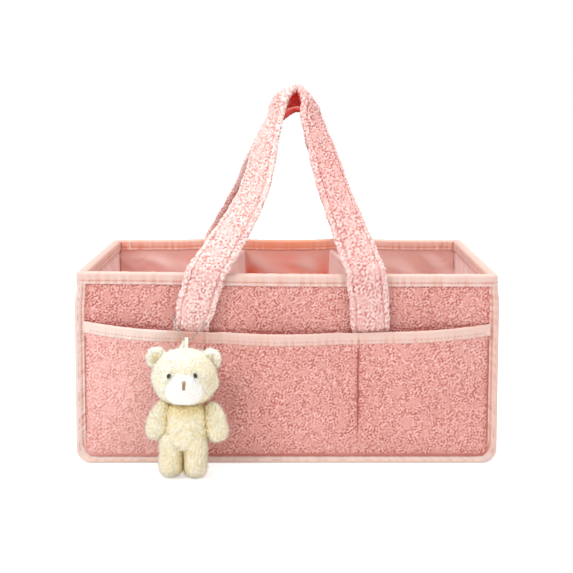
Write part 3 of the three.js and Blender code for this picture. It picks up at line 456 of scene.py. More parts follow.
def make_object(name, form, material, pile=None):
    """A smooth mesh of a form. pile is the tone at its points, which the materials read."""
    points, groups = form
    mesh = bpy.data.meshes.new(name)
    corners = np.concatenate([faces.ravel() for faces, _ in groups]).astype(np.int32)
    sizes = np.concatenate([np.full(len(faces), faces.shape[1]) for faces, _ in groups])
    starts = np.concatenate([[0], np.cumsum(sizes)[:-1]]).astype(np.int32)
    mesh.vertices.add(len(points))
    mesh.vertices.foreach_set("co", (points * MM).astype(np.float32).ravel())
    mesh.loops.add(len(corners))
    mesh.loops.foreach_set("vertex_index", corners)
    mesh.polygons.add(len(sizes))
    mesh.polygons.foreach_set("loop_start", starts)
    mesh.update(calc_edges=True)
    surface_map = mesh.uv_layers.new(name="OFBake", do_init=False)
    places = np.concatenate([p.reshape(-1, 2) for _, p in groups])
    surface_map.uv.foreach_set("vector", places.astype(np.float32).ravel())
    if pile is not None:
        attribute = mesh.attributes.new("pile", "FLOAT", "POINT")
        attribute.data.foreach_set("value", np.asarray(pile, np.float32).ravel())
    mesh.shade_smooth()
    mesh.materials.append(material)
    made = bpy.data.objects.new(name, mesh)
    bpy.context.scene.collection.objects.link(made)
    return made


def softened(points):
    """The tub's soft ends stand out a little at the bottom, and its corners are round at the rim."""
    x, z = points[:, 0], points[:, 2]
    most = np.where(x < 0, -FLARE_LEFT, FLARE_RIGHT) * smoothstep(np.abs(x), 90, HALF_WIDTH)
    moved = points.copy()
    flare = 0.45 * smoothstep(-z, -RIM_FOOT, 25 - RIM_FOOT) + 0.55 * np.clip(1 - z / RIM_FOOT, 0, 1)
    moved[:, 0] += most * flare
    straight = np.array([HALF_WIDTH, HALF_DEPTH]) - RIM_CORNER_RADIUS
    beyond = np.maximum(np.abs(points[:, :2]) - straight, 0)
    shrink = 1 - beyond.max(1) / np.maximum(np.linalg.norm(beyond, axis=1), 1e-9)
    shrink = shrink * (beyond.min(1) > 0) * smoothstep(z, RIM_FOOT - 12, RIM_FOOT)
    moved[:, :2] -= np.sign(points[:, :2]) * beyond * shrink[:, None]
    return moved


def add_piece(name, form, material, body, slot, *nodes, pile=None, mirrored=False):
    """A piece that rides on a body and stands for CAD nodes. The tub's own pieces take its soft shape."""
    form = mirror_y(form) if mirrored else form
    if body == "caddy":
        form = softened(form[0]), form[1]
    made = make_object(name, form, material, pile)
    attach(made, body)
    if nodes:
        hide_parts(*nodes)
    return made


# Materials

def srgb(red, green, blue):
    """A colour in screen values from 0 to 255, as the linear numbers that a shader takes."""
    shares = np.array([red, green, blue]) / 255
    linear = np.where(shares <= 0.04045, shares / 12.92, ((shares + 0.055) / 1.055) ** 2.4)
    return (*linear, 1.0)


def add_node(tree, kind, inputs=(), output=0, **settings):
    """An output of a new node. Its inputs, by name or in order, take values or the outputs of other nodes."""
    made = tree.nodes.new(kind)
    for name, value in settings.items():
        setattr(made, name, value)
    named = inputs.items() if isinstance(inputs, dict) else enumerate(inputs)
    for key, source in named:
        if isinstance(source, bpy.types.NodeSocket):
            tree.links.new(source, made.inputs[key])
        else:
            made.inputs[key].default_value = source
    return made.outputs[output]


class Finish:
    """A Principled material, and short calls that add nodes to it."""

    def __init__(self, name, roughness, specular=0.3, sheen=0.0, metallic=0.0):
        self.material = bpy.data.materials.new(name)
        self.material.use_nodes = True
        self.tree = self.material.node_tree
        self.shader = self.tree.nodes["Principled BSDF"]
        self.set("Roughness", roughness)
        self.set("Specular IOR Level", specular)
        self.set("Sheen Weight", sheen)
        self.set("Sheen Roughness", 0.5)
        self.set("Metallic", metallic)

    def set(self, socket, value):
        self.shader.inputs[socket].default_value = value

    def link(self, source, socket):
        self.tree.links.new(source, self.shader.inputs[socket])

    def node(self, *details, **settings):
        return add_node(self.tree, *details, **settings)

    def place(self):
        return self.node("ShaderNodeTexCoord", output="Object")

    def pile(self):
        """The tone that make_object leaves at a mesh's points."""
        return self.node("ShaderNodeAttribute", output="Fac", attribute_name="pile")

    def noise(self, wavelength, detail=2.0, stretch=(1, 1, 1)):
        """Random values from 0 to 1 whose patches are about a wavelength in millimetres across."""
        place = self.node("ShaderNodeMapping", {"Vector": self.place(), "Scale": stretch})
        grain = {"Vector": place, "Scale": 1 / (wavelength * MM), "Detail": detail}
        return self.node("ShaderNodeTexNoise", grain, "Fac")

    def ribs(self, spacing, direction):
        """A weave's ribs from 0 to 1, a spacing in millimetres apart."""
        weave = {"Vector": self.place(), "Scale": 0.314 / (spacing * MM), "Distortion": 0.4}
        return self.node("ShaderNodeTexWave", weave, "Fac", bands_direction=direction, wave_profile="SIN")

    def math(self, operation, a, b):
        return self.node("ShaderNodeMath", (a, b), operation=operation)

    def plus_noise(self, value, wavelength, strength, detail=2.0):
        """The value with noise about zero added to it."""
        off_middle = self.math("SUBTRACT", self.noise(wavelength, detail), 0.5)
        return self.math("ADD", value, self.math("MULTIPLY", off_middle, strength))

    def colours(self, factor, *stops):
        """Colours along a factor, given as (place, screen colour), on the shader."""
        colour = self.node("ShaderNodeValToRGB", [factor], "Color")
        ramp = colour.node.color_ramp
        ramp.interpolation = "EASE" if len(stops) < 3 else "LINEAR"
        while len(ramp.elements) < len(stops):
            ramp.elements.new(1.0)
        for element, (place, screen_colour) in zip(ramp.elements, stops):
            element.position = place
            element.color = srgb(*screen_colour)
        self.link(colour, "Base Color")

    def bump(self, height, depth):
        """Fine relief of about a depth in millimetres."""
        relief = {"Height": height, "Distance": depth * MM, "Strength": 0.8}
        self.link(self.node("ShaderNodeBump", relief), "Normal")


def pile_finish(name, stops, patch, fuzz, sheen):
    """A wool-like pile, dark in its gaps and pale on its tips: the tone that it reads carries painted shade
    and painted light.
    """
    finish = Finish(name, roughness=0.92, specular=0.15, sheen=sheen)
    factor = finish.plus_noise(finish.pile(), 45, patch)
    factor = finish.plus_noise(factor, 0.9, fuzz, detail=3.0)
    finish.colours(factor, *stops)
    finish.bump(finish.noise(0.45, detail=3.0), 0.18)
    return finish.material


def tape_finish(name, *stops):
    finish = Finish(name, roughness=0.62, specular=0.25, sheen=0.25)
    base = finish.math("MULTIPLY", finish.pile(), 0.8)
    factor = finish.plus_noise(finish.plus_noise(base, 14, 0.22), 1.1, 0.2)
    finish.colours(factor, *stops)
    weave = finish.math("MULTIPLY", finish.ribs(0.55, "X"), finish.ribs(0.55, "Z"))
    finish.bump(weave, 0.02)
    return finish.material


def lining_finish(name, deep, dark, middle, pale, sheen=0.3):
    finish = Finish(name, roughness=0.42, specular=0.4, sheen=sheen)
    base = finish.plus_noise(finish.pile(), 60, 0.5)
    finish.colours(finish.plus_noise(base, 2.2, 0.12), (0.0, deep), (0.2, dark), (0.5, middle), (0.95, pale))
    weave = finish.math("ADD", finish.ribs(0.4, "DIAGONAL"), finish.noise(0.5))
    finish.bump(weave, 0.03)
    return finish.material


def thread_finish(name, dark, pale, wavelength=0.5):
    finish = Finish(name, roughness=0.55, specular=0.35, sheen=0.2)
    finish.colours(finish.noise(wavelength, stretch=(1, 1, 3)), (0.3, dark), (0.7, pale))
    finish.bump(finish.ribs(0.25, "DIAGONAL"), 0.05)
    return finish.material


def plain_finish(name, dark, pale, wavelength, relief, roughness, specular=0.3, metallic=0.0):
    finish = Finish(name, roughness=roughness, specular=specular, metallic=metallic)
    finish.colours(finish.noise(wavelength, detail=4.0), (0.3, dark), (0.7, pale))
    finish.bump(finish.noise(wavelength / 3, detail=3.0), relief)
    return finish.material


# Low stops carry painted shade, in the gaps between curls and beside the tapes; high stops carry painted
# light on the curls' tips.
FLEECE_STOPS = (
    (0.0, (194, 114, 106)),
    (0.3, (217, 149, 140)),
    (0.5, (228, 165, 156)),
    (0.7, (235, 176, 168)),
    (1.0, (248, 200, 194)),
)
# The first stop is the deep red of the painted shade in the handles' fold.
STRAP_STOPS = (
    (0.0, (214, 36, 20)),
    (0.13, (196, 104, 97)),
    (0.4, (227, 167, 160)),
    (0.7, (242, 205, 199)),
    (0.95, (252, 230, 226)),
)
# The golden low stops carry the bear's painted shade in its creases and hollows.
PLUSH_STOPS = (
    (0.0, (204, 146, 72)),
    (0.25, (232, 198, 128)),
    (0.5, (246, 228, 177)),
    (0.75, (252, 242, 209)),
    (1.0, (255, 253, 242)),
)
MUZZLE_STOPS = (
    (0.0, (222, 216, 204)),
    (0.4, (240, 236, 228)),
    (0.8, (249, 247, 241)),
    (1.0, (252, 251, 247)),
)
BINDING_STOPS = (
    (0.0, (222, 156, 140)),
    (0.45, (233, 197, 185)),
    (0.75, (234, 212, 205)),
    (0.95, (254, 224, 209)),
)
# A warmer copy of the tape's colours for the back rim: painted warm reflection of the lining and painted
# shade.
BACK_RIM_SHADED_STOPS = (
    (0.0, (248, 162, 128)),
    (0.16, (242, 172, 150)),
    (0.4, (248, 200, 185)),
    (0.75, (250, 216, 204)),
)
fleece_finish = pile_finish("fleece", FLEECE_STOPS, patch=0.36, fuzz=0.22, sheen=0.25)
strap_finish = pile_finish("strap_fleece", STRAP_STOPS, patch=0.12, fuzz=0.22, sheen=0.3)
plush_finish = pile_finish("bear_plush", PLUSH_STOPS, patch=0.2, fuzz=0.2, sheen=0.3)
muzzle_finish = pile_finish("muzzle_plush", MUZZLE_STOPS, patch=0.1, fuzz=0.15, sheen=0.3)
binding_finish = tape_finish("binding_tape", *BINDING_STOPS)
back_rim_shaded_finish = tape_finish("back_rim_tape", *BACK_RIM_SHADED_STOPS)
# The lining's deep stop is the coral of its painted warm shade.
satin_finish = lining_finish("lining", (238, 92, 58), (244, 158, 140), (240, 190, 180), (252, 222, 216))
# A paler, pinker copy of the lining: painted light on the dividers, which stand in the tub's shade.
divider_lit_finish = lining_finish("divider_lining", (244, 150, 138), (250, 168, 158), (255, 202, 194),
                               (255, 224, 217), sheen=0.4)
thread_pale = thread_finish("seam_thread", (196, 130, 114), (220, 160, 144))
thread_orange = thread_finish("base_thread", (206, 120, 90), (226, 146, 116))
thread_brown = thread_finish("nose_thread", (134, 96, 66), (186, 148, 112))
ribbon_finish = thread_finish("ribbon_satin", (238, 232, 216), (253, 250, 240), wavelength=1.2)
board_finish = plain_finish("board", (205, 199, 190), (224, 219, 210),
                            wavelength=6, relief=0.05, roughness=0.8)
hook_finish = plain_finish("hook_and_loop", (214, 150, 138), (240, 190, 180),
                           wavelength=0.8, relief=0.3, roughness=0.9)
bead_finish = plain_finish("bead", (12, 9, 8), (34, 27, 24),
                           wavelength=3, relief=0.01, roughness=0.12, specular=0.6)
steel_finish = plain_finish("chain_steel", (150, 148, 146), (196, 194, 191),
                            wavelength=2, relief=0.01, roughness=0.3, metallic=1.0)


# Fleece


def trimmed(count):
    """The nearest number of points that the hidden side's coarser grid divides."""
    return BACK_FACTOR * max(round((count - 1) / BACK_FACTOR), 2) + 1


def even_points(low, high, step):
    """Places from low to high, about a step apart."""
    return np.linspace(low, high, trimmed(int(abs(high - low) / step) + 1))


def fleece_sheet(name, node, outer, inner, seed, fade, mirrored=False, curl=CURL_WIDTH, shade=0):
    """A closed fleece sheet with curls on its outer grid.

    fade is the pile's share of full height there, and shade is added to the pile's tone.
    """
    steps = [np.median(np.linalg.norm(np.diff(outer, axis=k), axis=-1)) for k in (0, 1)]
    height = curls(outer.shape[:2], steps, curl, seed)
    raised = outer + grid_normals(outer) * (height * CURL_HEIGHT * fade)[..., None]
    back = inner[::BACK_FACTOR, ::BACK_FACTOR]
    # Tone follows the curls' height: painted shade in their gaps and painted light on their tips. shade adds
    # more painted shade and light.
    tone = mix(PRESSED_TONE, height, np.clip(fade, 0, 1)) + shade
    pile = np.concatenate([tone.ravel(), np.full(back[..., 0].size, BACK_TONE)])
    form = closed_sheet(raised, back)
    made = add_piece(name, form, fleece_finish, "caddy", "fleece", node, pile=pile, mirrored=mirrored)


def add_long_wall(side, mirrored, seed):
    """Fleece of a long wall. Its points are close together only where it shows above the pocket."""
    behind_pocket = np.linspace(PANEL_LOW[2], HIDDEN_TOP, 2 * BACK_FACTOR + 1)[:-1]
    z = np.concatenate([behind_pocket, even_points(HIDDEN_TOP, CLOTH_TOP, FLEECE_STEP)])
    drop = np.clip(PANEL_LOW[2] + FLEECE_CORNER - z, 0, FLEECE_CORNER)
    half = PANEL_HIGH[0] - FLEECE_CORNER + np.sqrt(FLEECE_CORNER**2 - drop**2)
    share = np.linspace(-1, 1, trimmed(int(2 * PANEL_HIGH[0] / FLEECE_STEP)))
    x = share[None, :] * half[:, None]
    z = z[:, None]
    soft = 0.5 * banded_noise(x.shape, FLEECE_STEP, WALL_SWELL, seed + 5)
    fade = smoothstep(z, HIDDEN_TOP, HIDDEN_TOP + 6) * falling(z, RIM_FOOT, RIM_FOOT + 2)
    fade = fade * falling(np.abs(x), FACE_HALF, FACE_HALF + 2)
    fade = fade * (1 - hump(x - CHAIN_X, CHAIN_PRESS[0], 4) * hump(z - CHAIN_Z, CHAIN_PRESS[1], 4))
    outer = points_at(x, PANEL_Y + PILE_FOOT - soft * fade * 0.6, z)
    inner = points_at(x, PANEL_Y + FLEECE, z)
    under_rim = RIM_FOOT + rim_lift(x, -HALF_DEPTH) - z
    over_mouth = np.maximum(z - mouth_height(x), 0)
    # Painted shade: under the rim tape, beside the edge tapes and above the pockets' mouth.
    shade = -0.25 * hump(under_rim, 1.5) - 0.35 * hump(FACE_HALF - np.abs(x), 3.2)
    shade = shade - 0.35 * hump(over_mouth, 1.5)
    names = f"{side}_wall_fleece", f"{side}_outer_panel"
    fleece_sheet(*names, outer, inner, seed, fade, mirrored, shade=shade)


def add_end_wall(side, seed):
    """Fleece of an end wall, which turns under the base in a round corner."""
    low, high = box_mm(f"{side}_outer_panel")
    turn_x, turn_z = HALF_WIDTH - FLEECE_INSET - FLEECE_CORNER, low[2] + FLEECE_CORNER
    upright = CLOTH_TOP - turn_z
    run = even_points(0, upright + FLEECE_CORNER * math.pi / 2, END_STEP)
    bend = np.clip((run - upright) / FLEECE_CORNER, 0, math.pi / 2)
    y = even_points(low[1], high[1], END_STEP)

    def surface(depth):
        radius = FLEECE_CORNER - depth
        x = turn_x + radius * np.cos(bend)
        z = np.where(run < upright, CLOTH_TOP - run, turn_z - radius * np.sin(bend))
        return points_at(x[:, None], y, z[:, None])[::-1]

    outer, inner = surface(PILE_FOOT), surface(FLEECE)
    z, edge = outer[..., 2], HALF_DEPTH - TAPE_FACE
    fade = smoothstep(z, low[2], low[2] + 3) * falling(z, RIM_FOOT, RIM_FOOT + 2)
    fade = fade * falling(np.abs(outer[..., 1]), edge, edge + 2)
    if side == "left":
        outer, inner = outer * (-1, -1, 1), inner * (-1, -1, 1)
    fleece_sheet(f"{side}_wall_fleece", f"{side}_outer_panel", outer, inner, seed, fade)


def add_base(seed):
    """Fleece under the base. The tips of its pile lie on the floor."""
    low, high = box_mm("base_outer_panel")
    x, y = (even_points(low[k], high[k], 2 * FLEECE_STEP) for k in (0, 1))
    outer = points_at(x, y[::-1, None], low[2] + CURL_HEIGHT)
    inner = outer * (1, 1, 0) + (0, 0, high[2])
    from_edge = (high - np.abs(outer))[..., :2].min(-1)
    fade = smoothstep(from_edge, 0, 3)
    fleece_sheet("base_fleece", "base_outer_panel", outer, inner, seed, fade, curl=2 * CURL_WIDTH)


# Outside pockets

def mouth_height(x):
    """Height of the pockets' mouth, which sags in the middle."""
    rise = np.where(x < 0, MOUTH_LEFT_RISE, MOUTH_RIGHT_RISE)
    return MOUTH_Z + rise * (np.abs(x) / FACE_HALF) ** MOUTH_POWER


def strap_foot(z, foot_x, rim_x):
    """A strap on the wall: where its middle is, how far that is from the wall, and half its thickness."""
    pivot_z = PIVOTS["front_handle"][2]
    share = (z - FOOT_Z) / (pivot_z - FOOT_Z)
    x = mix(foot_x, rim_x, 0.75 * share**2 + 0.25 * share)
    risen = smoothstep(z, MOUTH_Z - 4, CHAIN_Z - 2)
    half = mix(STRAP_SEWN_THICKNESS, STRAP_THICKNESS, risen) / 2
    at_rim = smoothstep(z, 2 * CHAIN_Z - MOUTH_Z, RIM_FOOT)
    stand_off = mix(mix(0.3, STRAP_STAND_OFF, risen), STRAP_RIM_STAND_OFF, at_rim)
    return x, stand_off + half, half


def bays():
    """The three pockets of a side: the name of each and the places of its left and right edge."""
    edge = FACE_HALF - 0.3
    lines = [-edge, *SEAMS, edge]
    return list(zip(("left", "middle", "right"), lines[:-1], lines[1:]))


def pocket_room(x, z):
    """How far a pocket's inner face stands off the wall. It bellies between its seams and over the straps."""
    up = np.clip((z - TAPE_FACE) / (mouth_height(x) - TAPE_FACE), 0, 1)
    room = np.zeros(np.broadcast(x, z).shape)
    for _, left, right in bays():
        across = np.clip((x - left) / (right - left), 0, 1)
        room = np.maximum(room, POCKET_BULGE * np.sin(np.pi * across) ** 1.2 * np.sin(np.pi / 2 * up))
    for foot_x, rim_x in STRAP_X.values():
        strap_x, out, half = strap_foot(np.maximum(z, FOOT_Z), foot_x, rim_x)
        beside = falling(np.abs(x - strap_x), STRAP_WIDTH / 2 + 1, STRAP_WIDTH)
        room = np.maximum(room, (out + half + 0.6) * beside * smoothstep(z, FOOT_Z - 32, FOOT_Z - 2))
    under_mouth = z - mouth_height(x)
    return 0.3 + room + 1.1 * smoothstep(under_mouth, -2 * POCKET_TAPE_DROP, -POCKET_TAPE_DROP)


def pocket_thickness(from_edge):
    """Thickness of a pocket's fleece, which is pressed to a hem at the tub's edges."""
    return mix(POCKET_HEM, POCKET_FLEECE, smoothstep(from_edge, 0, 2 * TAPE_FACE))


def add_pocket(side, bay, left, right, mirrored, seed):
    """One pocket: a fleece sheet from seam to seam, drawn in where it is sewn down."""
    x = even_points(left, right, FLEECE_STEP)
    round_corner = np.maximum(CORNER_RADIUS - TAPE_FACE - (FACE_HALF - np.abs(x)), 0)
    low = TAPE_FACE + 0.3 + round_corner - 2.0
    top = mouth_height(x) - 1.0
    share = np.linspace(0, 1, trimmed(int((MOUTH_Z - TAPE_FACE) / FLEECE_STEP)))
    z = mix(low, top, share[:, None])
    from_seam = np.minimum(x - left, right - x)
    from_edge = np.minimum(FACE_HALF - np.abs(x), z - low)
    pulled = banded_noise((len(share), 1), FLEECE_STEP, 16, seed + 9)
    sewn = smoothstep(z, 12, 50) * falling(z, top - 14, top - 11)
    groove = (1.5 + 0.45 * pulled) * hump(from_seam, 1.5) * sewn
    soft = banded_noise(z.shape, FLEECE_STEP, POCKET_SWELL, seed + 5)
    loose = smoothstep(from_edge, 4, 30) * falling(z, top - 22, top - 10)
    body = pocket_thickness(from_edge) - groove + 0.75 * soft * loose - PILE_FOOT
    inner = points_at(x, PANEL_Y - pocket_room(x, z), z)
    outer = inner - np.maximum(body, 0.3)[..., None] * (0, 1, 0)
    fade = mix(1, smoothstep(from_seam, 0.2, 1.6), sewn) * smoothstep(z - low, 1.5, 3.5)
    fade = fade * falling(z, top - POCKET_TAPE_DROP, top - POCKET_TAPE_DROP + 2)
    # Painted shade in the seams' grooves and along the tapes, and painted light on the left pocket.
    shade = -0.3 * sewn * hump(from_seam, 1.6) - 0.35 * hump(from_edge, 3.2)
    shade = shade + (0.3 if bay == "left" else 0)
    name = f"{side}_{bay}_pocket_fleece"
    fleece_sheet(name, f"{side}_pocket_panel", outer, inner, seed, fade, mirrored, shade=shade)


# Tapes and their stitches

def folded_section(path):
    """A closed section of tape that follows a path, and the way out of the tape at each of its points."""
    path = np.asarray(path, float)
    along = unit(np.gradient(path, axis=0))
    out = points_at(-along[:, 1], along[:, 0])
    ring = np.concatenate([path, (path - TAPE * out)[::-1]])
    return ring, np.concatenate([out, out[::-1]])


def arc(centre, radius, start, stop, count=6):
    turn = np.radians(np.linspace(start, stop, count))
    return np.asarray(centre) + radius * points_at(np.cos(turn), np.sin(turn))


def stitch_row(line, outward=(0, -1, 0), pitch=STITCH_PITCH, length=STITCH_LENGTH, radius=STITCH_RADIUS,
               sway=0.0):
    """Stitches along a line of points, each a short thread whose ends sink into the cloth."""
    places = evenly(line, pitch)
    middles = (places[1:] + places[:-1]) / 2
    along = unit(np.diff(places, axis=0))
    out = np.broadcast_to(np.asarray(outward, float), middles.shape)
    side = unit(np.cross(along, out))
    if sway:
        middles = middles + side * (sway * np.where(np.arange(len(middles)) % 2, 1, -1))[:, None]
    shares = np.array([-0.5, -0.36, 0, 0.36, 0.5])
    girth = np.array([0.35, 0.9, 1.0, 0.9, 0.35]) * radius
    lift = np.array([-1.0, -0.1, 0.25, -0.1, -1.0]) * radius
    turn = full_turn(6)
    forms = []
    for m, a, o, s in zip(middles, along, out, side):
        spine = m + shares[:, None] * length * a + lift[:, None] * o
        round_it = np.cos(turn)[:, None] * s + np.sin(turn)[:, None] * o
        forms.append(tube(spine[:, None, :] + girth[:, None, None] * round_it[None]))
    return joined(forms)


def add_stitches(name, form, mirrored=False, thread=thread_pale):
    add_piece(name, form, thread, "caddy", "binding_tape", mirrored=mirrored)


def add_tape(name, node, rings, shade, finish=binding_finish, mirrored=False):
    """A folded tape from its rings."""
    form = tube(rings)
    made = add_piece(name, form, finish, "caddy", "binding_tape", node, pile=shade, mirrored=mirrored)


def rim_lift(x, y):
    """How far the soft rim lies above its straight line."""
    front = FRONT_RIM_LEFT - FRONT_RIM_SAG * smoothstep(x, -HALF_WIDTH, 0.2 * HALF_WIDTH)
    pulled = sum(hump(x - rim_x, 30) for _, rim_x in STRAP_X.values())
    return mix(front, BACK_RIM_LIFT + STRAP_PULL * pulled, (y + HALF_DEPTH) / (2 * HALF_DEPTH))


def rim_section():
    """The rim tape's section: up the outside, over the rim and down the inside."""
    depths = np.linspace(RIM_DROP, RIM_FOLD + 0.8, 9)
    outer_leg = [(0, -d) for d in depths]
    inner_leg = [(RIM_WIDTH, -d) for d in depths[::-1]]
    first_bend = arc((RIM_FOLD, -RIM_FOLD), RIM_FOLD, 180, 90)
    second_bend = arc((RIM_WIDTH - RIM_FOLD, -RIM_FOLD), RIM_FOLD, 90, 0)
    crest = [(RIM_WIDTH / 2, 0.25)]
    return folded_section(np.concatenate([outer_leg, first_bend, crest, second_bend, inner_leg]))


def rim_tone(side, ring, relief, sewn, x):
    """Tone of the rim tape: paler at its lip and, as painted light, on its puckers' tops, with painted shade
    on its inner face and along its stitches. The ends' tape is darker and as pink as the lining, but for its
    outer edge: painted shade.
    """
    if side in ("left", "right"):
        return 0.4 + 0.06 * relief + 0.3 * falling(ring[:, 0], 0.1 * RIM_WIDTH, 0.45 * RIM_WIDTH)
    lip = smoothstep(-ring[:, 1], RIM_DROP - STITCH_INSET, RIM_DROP)
    first = 0.5 if side == "front" else 0.1
    inside = smoothstep(ring[:, 0], first * RIM_WIDTH, (first + 0.4) * RIM_WIDTH)
    tone = 0.6 + 0.14 * relief + 0.18 * lip - 0.2 * inside - 0.2 * sewn
    if side == "back":  # painted warm reflection of the lining and painted shade between the dividers, and painted light towards the right end, on the inner face
        tone = tone + (0.12 * smoothstep(x, 70, 100) - 0.34 * hump(x, 52, 4)) * inside
    return tone


def add_rim(side, turn, half, out, seed):
    """Tape folded over one side of the rim, mitred at both ends, with a row of stitches on each face of the
    front and back and on the outer face of the ends.
    """
    cos, sin = round(math.cos(turn)), round(math.sin(turn))

    def place(along, across, z):
        """Points of the soft rim from their places along this side and in from its outer face."""
        x, y = along * cos - (across - out) * sin, along * sin + (across - out) * cos
        return points_at(x, y, z + rim_lift(x, y))

    ring, ways = rim_section()
    count = int(2 * half / TAPE_STEP)
    share = np.linspace(-1, 1, count)[:, None]
    down = np.clip(-ring[:, 1] / RIM_DROP, 0, 1)
    sewn = hump(ring[:, 1] + RIM_DROP - STITCH_INSET, 0.9)
    wave = ripples(count, TAPE_STEP, RIM_PUCKER_WIDTH, seed)[:, None]
    push = PUCKER * wave * (0.25 + 0.75 * down**1.5) - 0.3 * sewn
    push = push * smoothstep(1 - np.abs(share), 0.0, 0.04)
    spot = ring + push[..., None] * ways
    rings = place(share * (half - spot[..., 0]), spot[..., 0], RIM_TOP + spot[..., 1])
    shade = rim_tone(side, ring, push / PUCKER, sewn, rings[..., 0])
    finish = back_rim_shaded_finish if side == "back" else binding_finish
    add_tape(f"{side}_rim_binding", f"{side}_rim_tape", rings, shade, finish)

    rows = []
    faces = [(-0.02, -1)] if side in ("left", "right") else [(-0.02, -1), (RIM_WIDTH + 0.02, 1)]
    for across, way in faces:
        along = np.linspace(-1, 1, 200) * (half - max(across, 0) - 2)
        rows.append(stitch_row(place(along, across, RIM_FOOT + STITCH_INSET), (-way * sin, way * cos, 0)))
    if side == "back":
        z = np.linspace(RIM_FOOT + 0.5, RIM_TOP - 1.5, 20)
        for x in (*CORNER_TACKS, *(-np.array(CORNER_TACKS))):
            line = points_at(x, out - RIM_WIDTH - 0.4, z + rim_lift(x, out))
            rows.append(stitch_row(line, pitch=2.2, length=2.0, radius=0.4))
    add_stitches(f"{side}_rim_stitches", joined(rows))


def edge_line(inset, radius, top):
    """The U of a long side's edge at an inset, as points with as many on each stretch whatever the inset."""
    x, low = HALF_WIDTH - inset, inset
    down = int((top - CORNER_RADIUS) / TAPE_STEP)
    left = points_at(-x, np.linspace(top, low + radius, down))
    corner = arc((-x + radius, low + radius), radius, 180, 270, CORNER_POINTS + 2)[1:-1]
    width = int(2 * (HALF_WIDTH - CORNER_RADIUS) / TAPE_STEP)
    bottom = points_at(np.linspace(-x + radius, x - radius, width), low)
    return np.concatenate([left, corner, bottom, corner[::-1] * (-1, 1), left[::-1] * (-1, 1)])


def edge_section():
    """The edge tape's section: in across a long side's face, round its edge and along its flank."""
    reach = np.linspace(1, EDGE_FOLD / TAPE_FACE, 11)
    face = [(f * TAPE_FACE, 0.9 * smoothstep(f, 0.45, 0.8)) for f in reach]
    bend = arc((EDGE_FOLD, EDGE_FOLD), EDGE_FOLD, 270, 180, 8)
    flank = [(0, d) for d in np.linspace(EDGE_FOLD + 0.6, EDGE_HIGH[1] - EDGE_LOW[1], 6)]
    return folded_section(np.concatenate([face, bend, flank]))


def add_edge_tape(side, mirrored, seed):
    """Tape that binds the sewn edges of a long side, with wide round corners on the face."""
    top = EDGE_HIGH[2] + 1.5
    outer, inner = edge_line(0, CORNER_RADIUS, top), edge_line(TAPE_FACE, INNER_CORNER_RADIUS, top)
    ring, ways = edge_section()
    wave = ripples(len(outer), TAPE_STEP, EDGE_PUCKER_WIDTH, seed)[:, None]
    at_edge = np.clip(ring[:, 0] / TAPE_FACE, 0, 1)
    sewn = hump(ring[:, 0] - TAPE_FACE + EDGE_STITCH_INSET, 0.8)
    mid_corner = int((top - CORNER_RADIUS) / TAPE_STEP) + CORNER_POINTS // 2
    corner = hump(np.arange(len(outer)) - mid_corner, 4.0)
    corner = (corner + corner[::-1])[:, None]
    push = 0.8 * PUCKER * wave * at_edge**2 - 0.35 * sewn + 0.35 * corner * at_edge
    spot = ring + push[..., None] * ways
    flat = outer[:, None] + spot[..., :1] / TAPE_FACE * (inner - outer)[:, None]
    rings = points_at(flat[..., 0], spot[..., 1] - HALF_DEPTH, flat[..., 1])
    # Painted light on the puckers' tops and along the bottom run, which lies in the floor's shade; painted
    # shade along the stitches and at the right end.
    under = falling(rings[..., 2], 2, TAPE_FACE + 2)
    right = smoothstep(rings[..., 0], HALF_WIDTH - 20, HALF_WIDTH - 8)
    shade = 0.78 + 0.2 * push / PUCKER - 0.3 * sewn + 0.45 * under - 0.25 * right
    add_tape(f"{side}_edge_binding", f"{side}_edge_tape", rings, shade, mirrored=mirrored)

    line = edge_line(TAPE_FACE - EDGE_STITCH_INSET, INNER_CORNER_RADIUS - 1, top - 3)
    row = stitch_row(np.insert(line, 1, 1.05 - HALF_DEPTH, axis=1))
    add_stitches(f"{side}_edge_stitches", row, mirrored)
    reach = FACE_HALF - INNER_CORNER_RADIUS
    seam = points_at(np.linspace(-reach, reach, 120), 0.5 - HALF_DEPTH, TAPE_FACE + 0.2)
    row = stitch_row(seam, pitch=3.0, length=3.1, radius=0.32, sway=0.22)
    add_stitches(f"{side}_base_seam", row, mirrored, thread_orange)


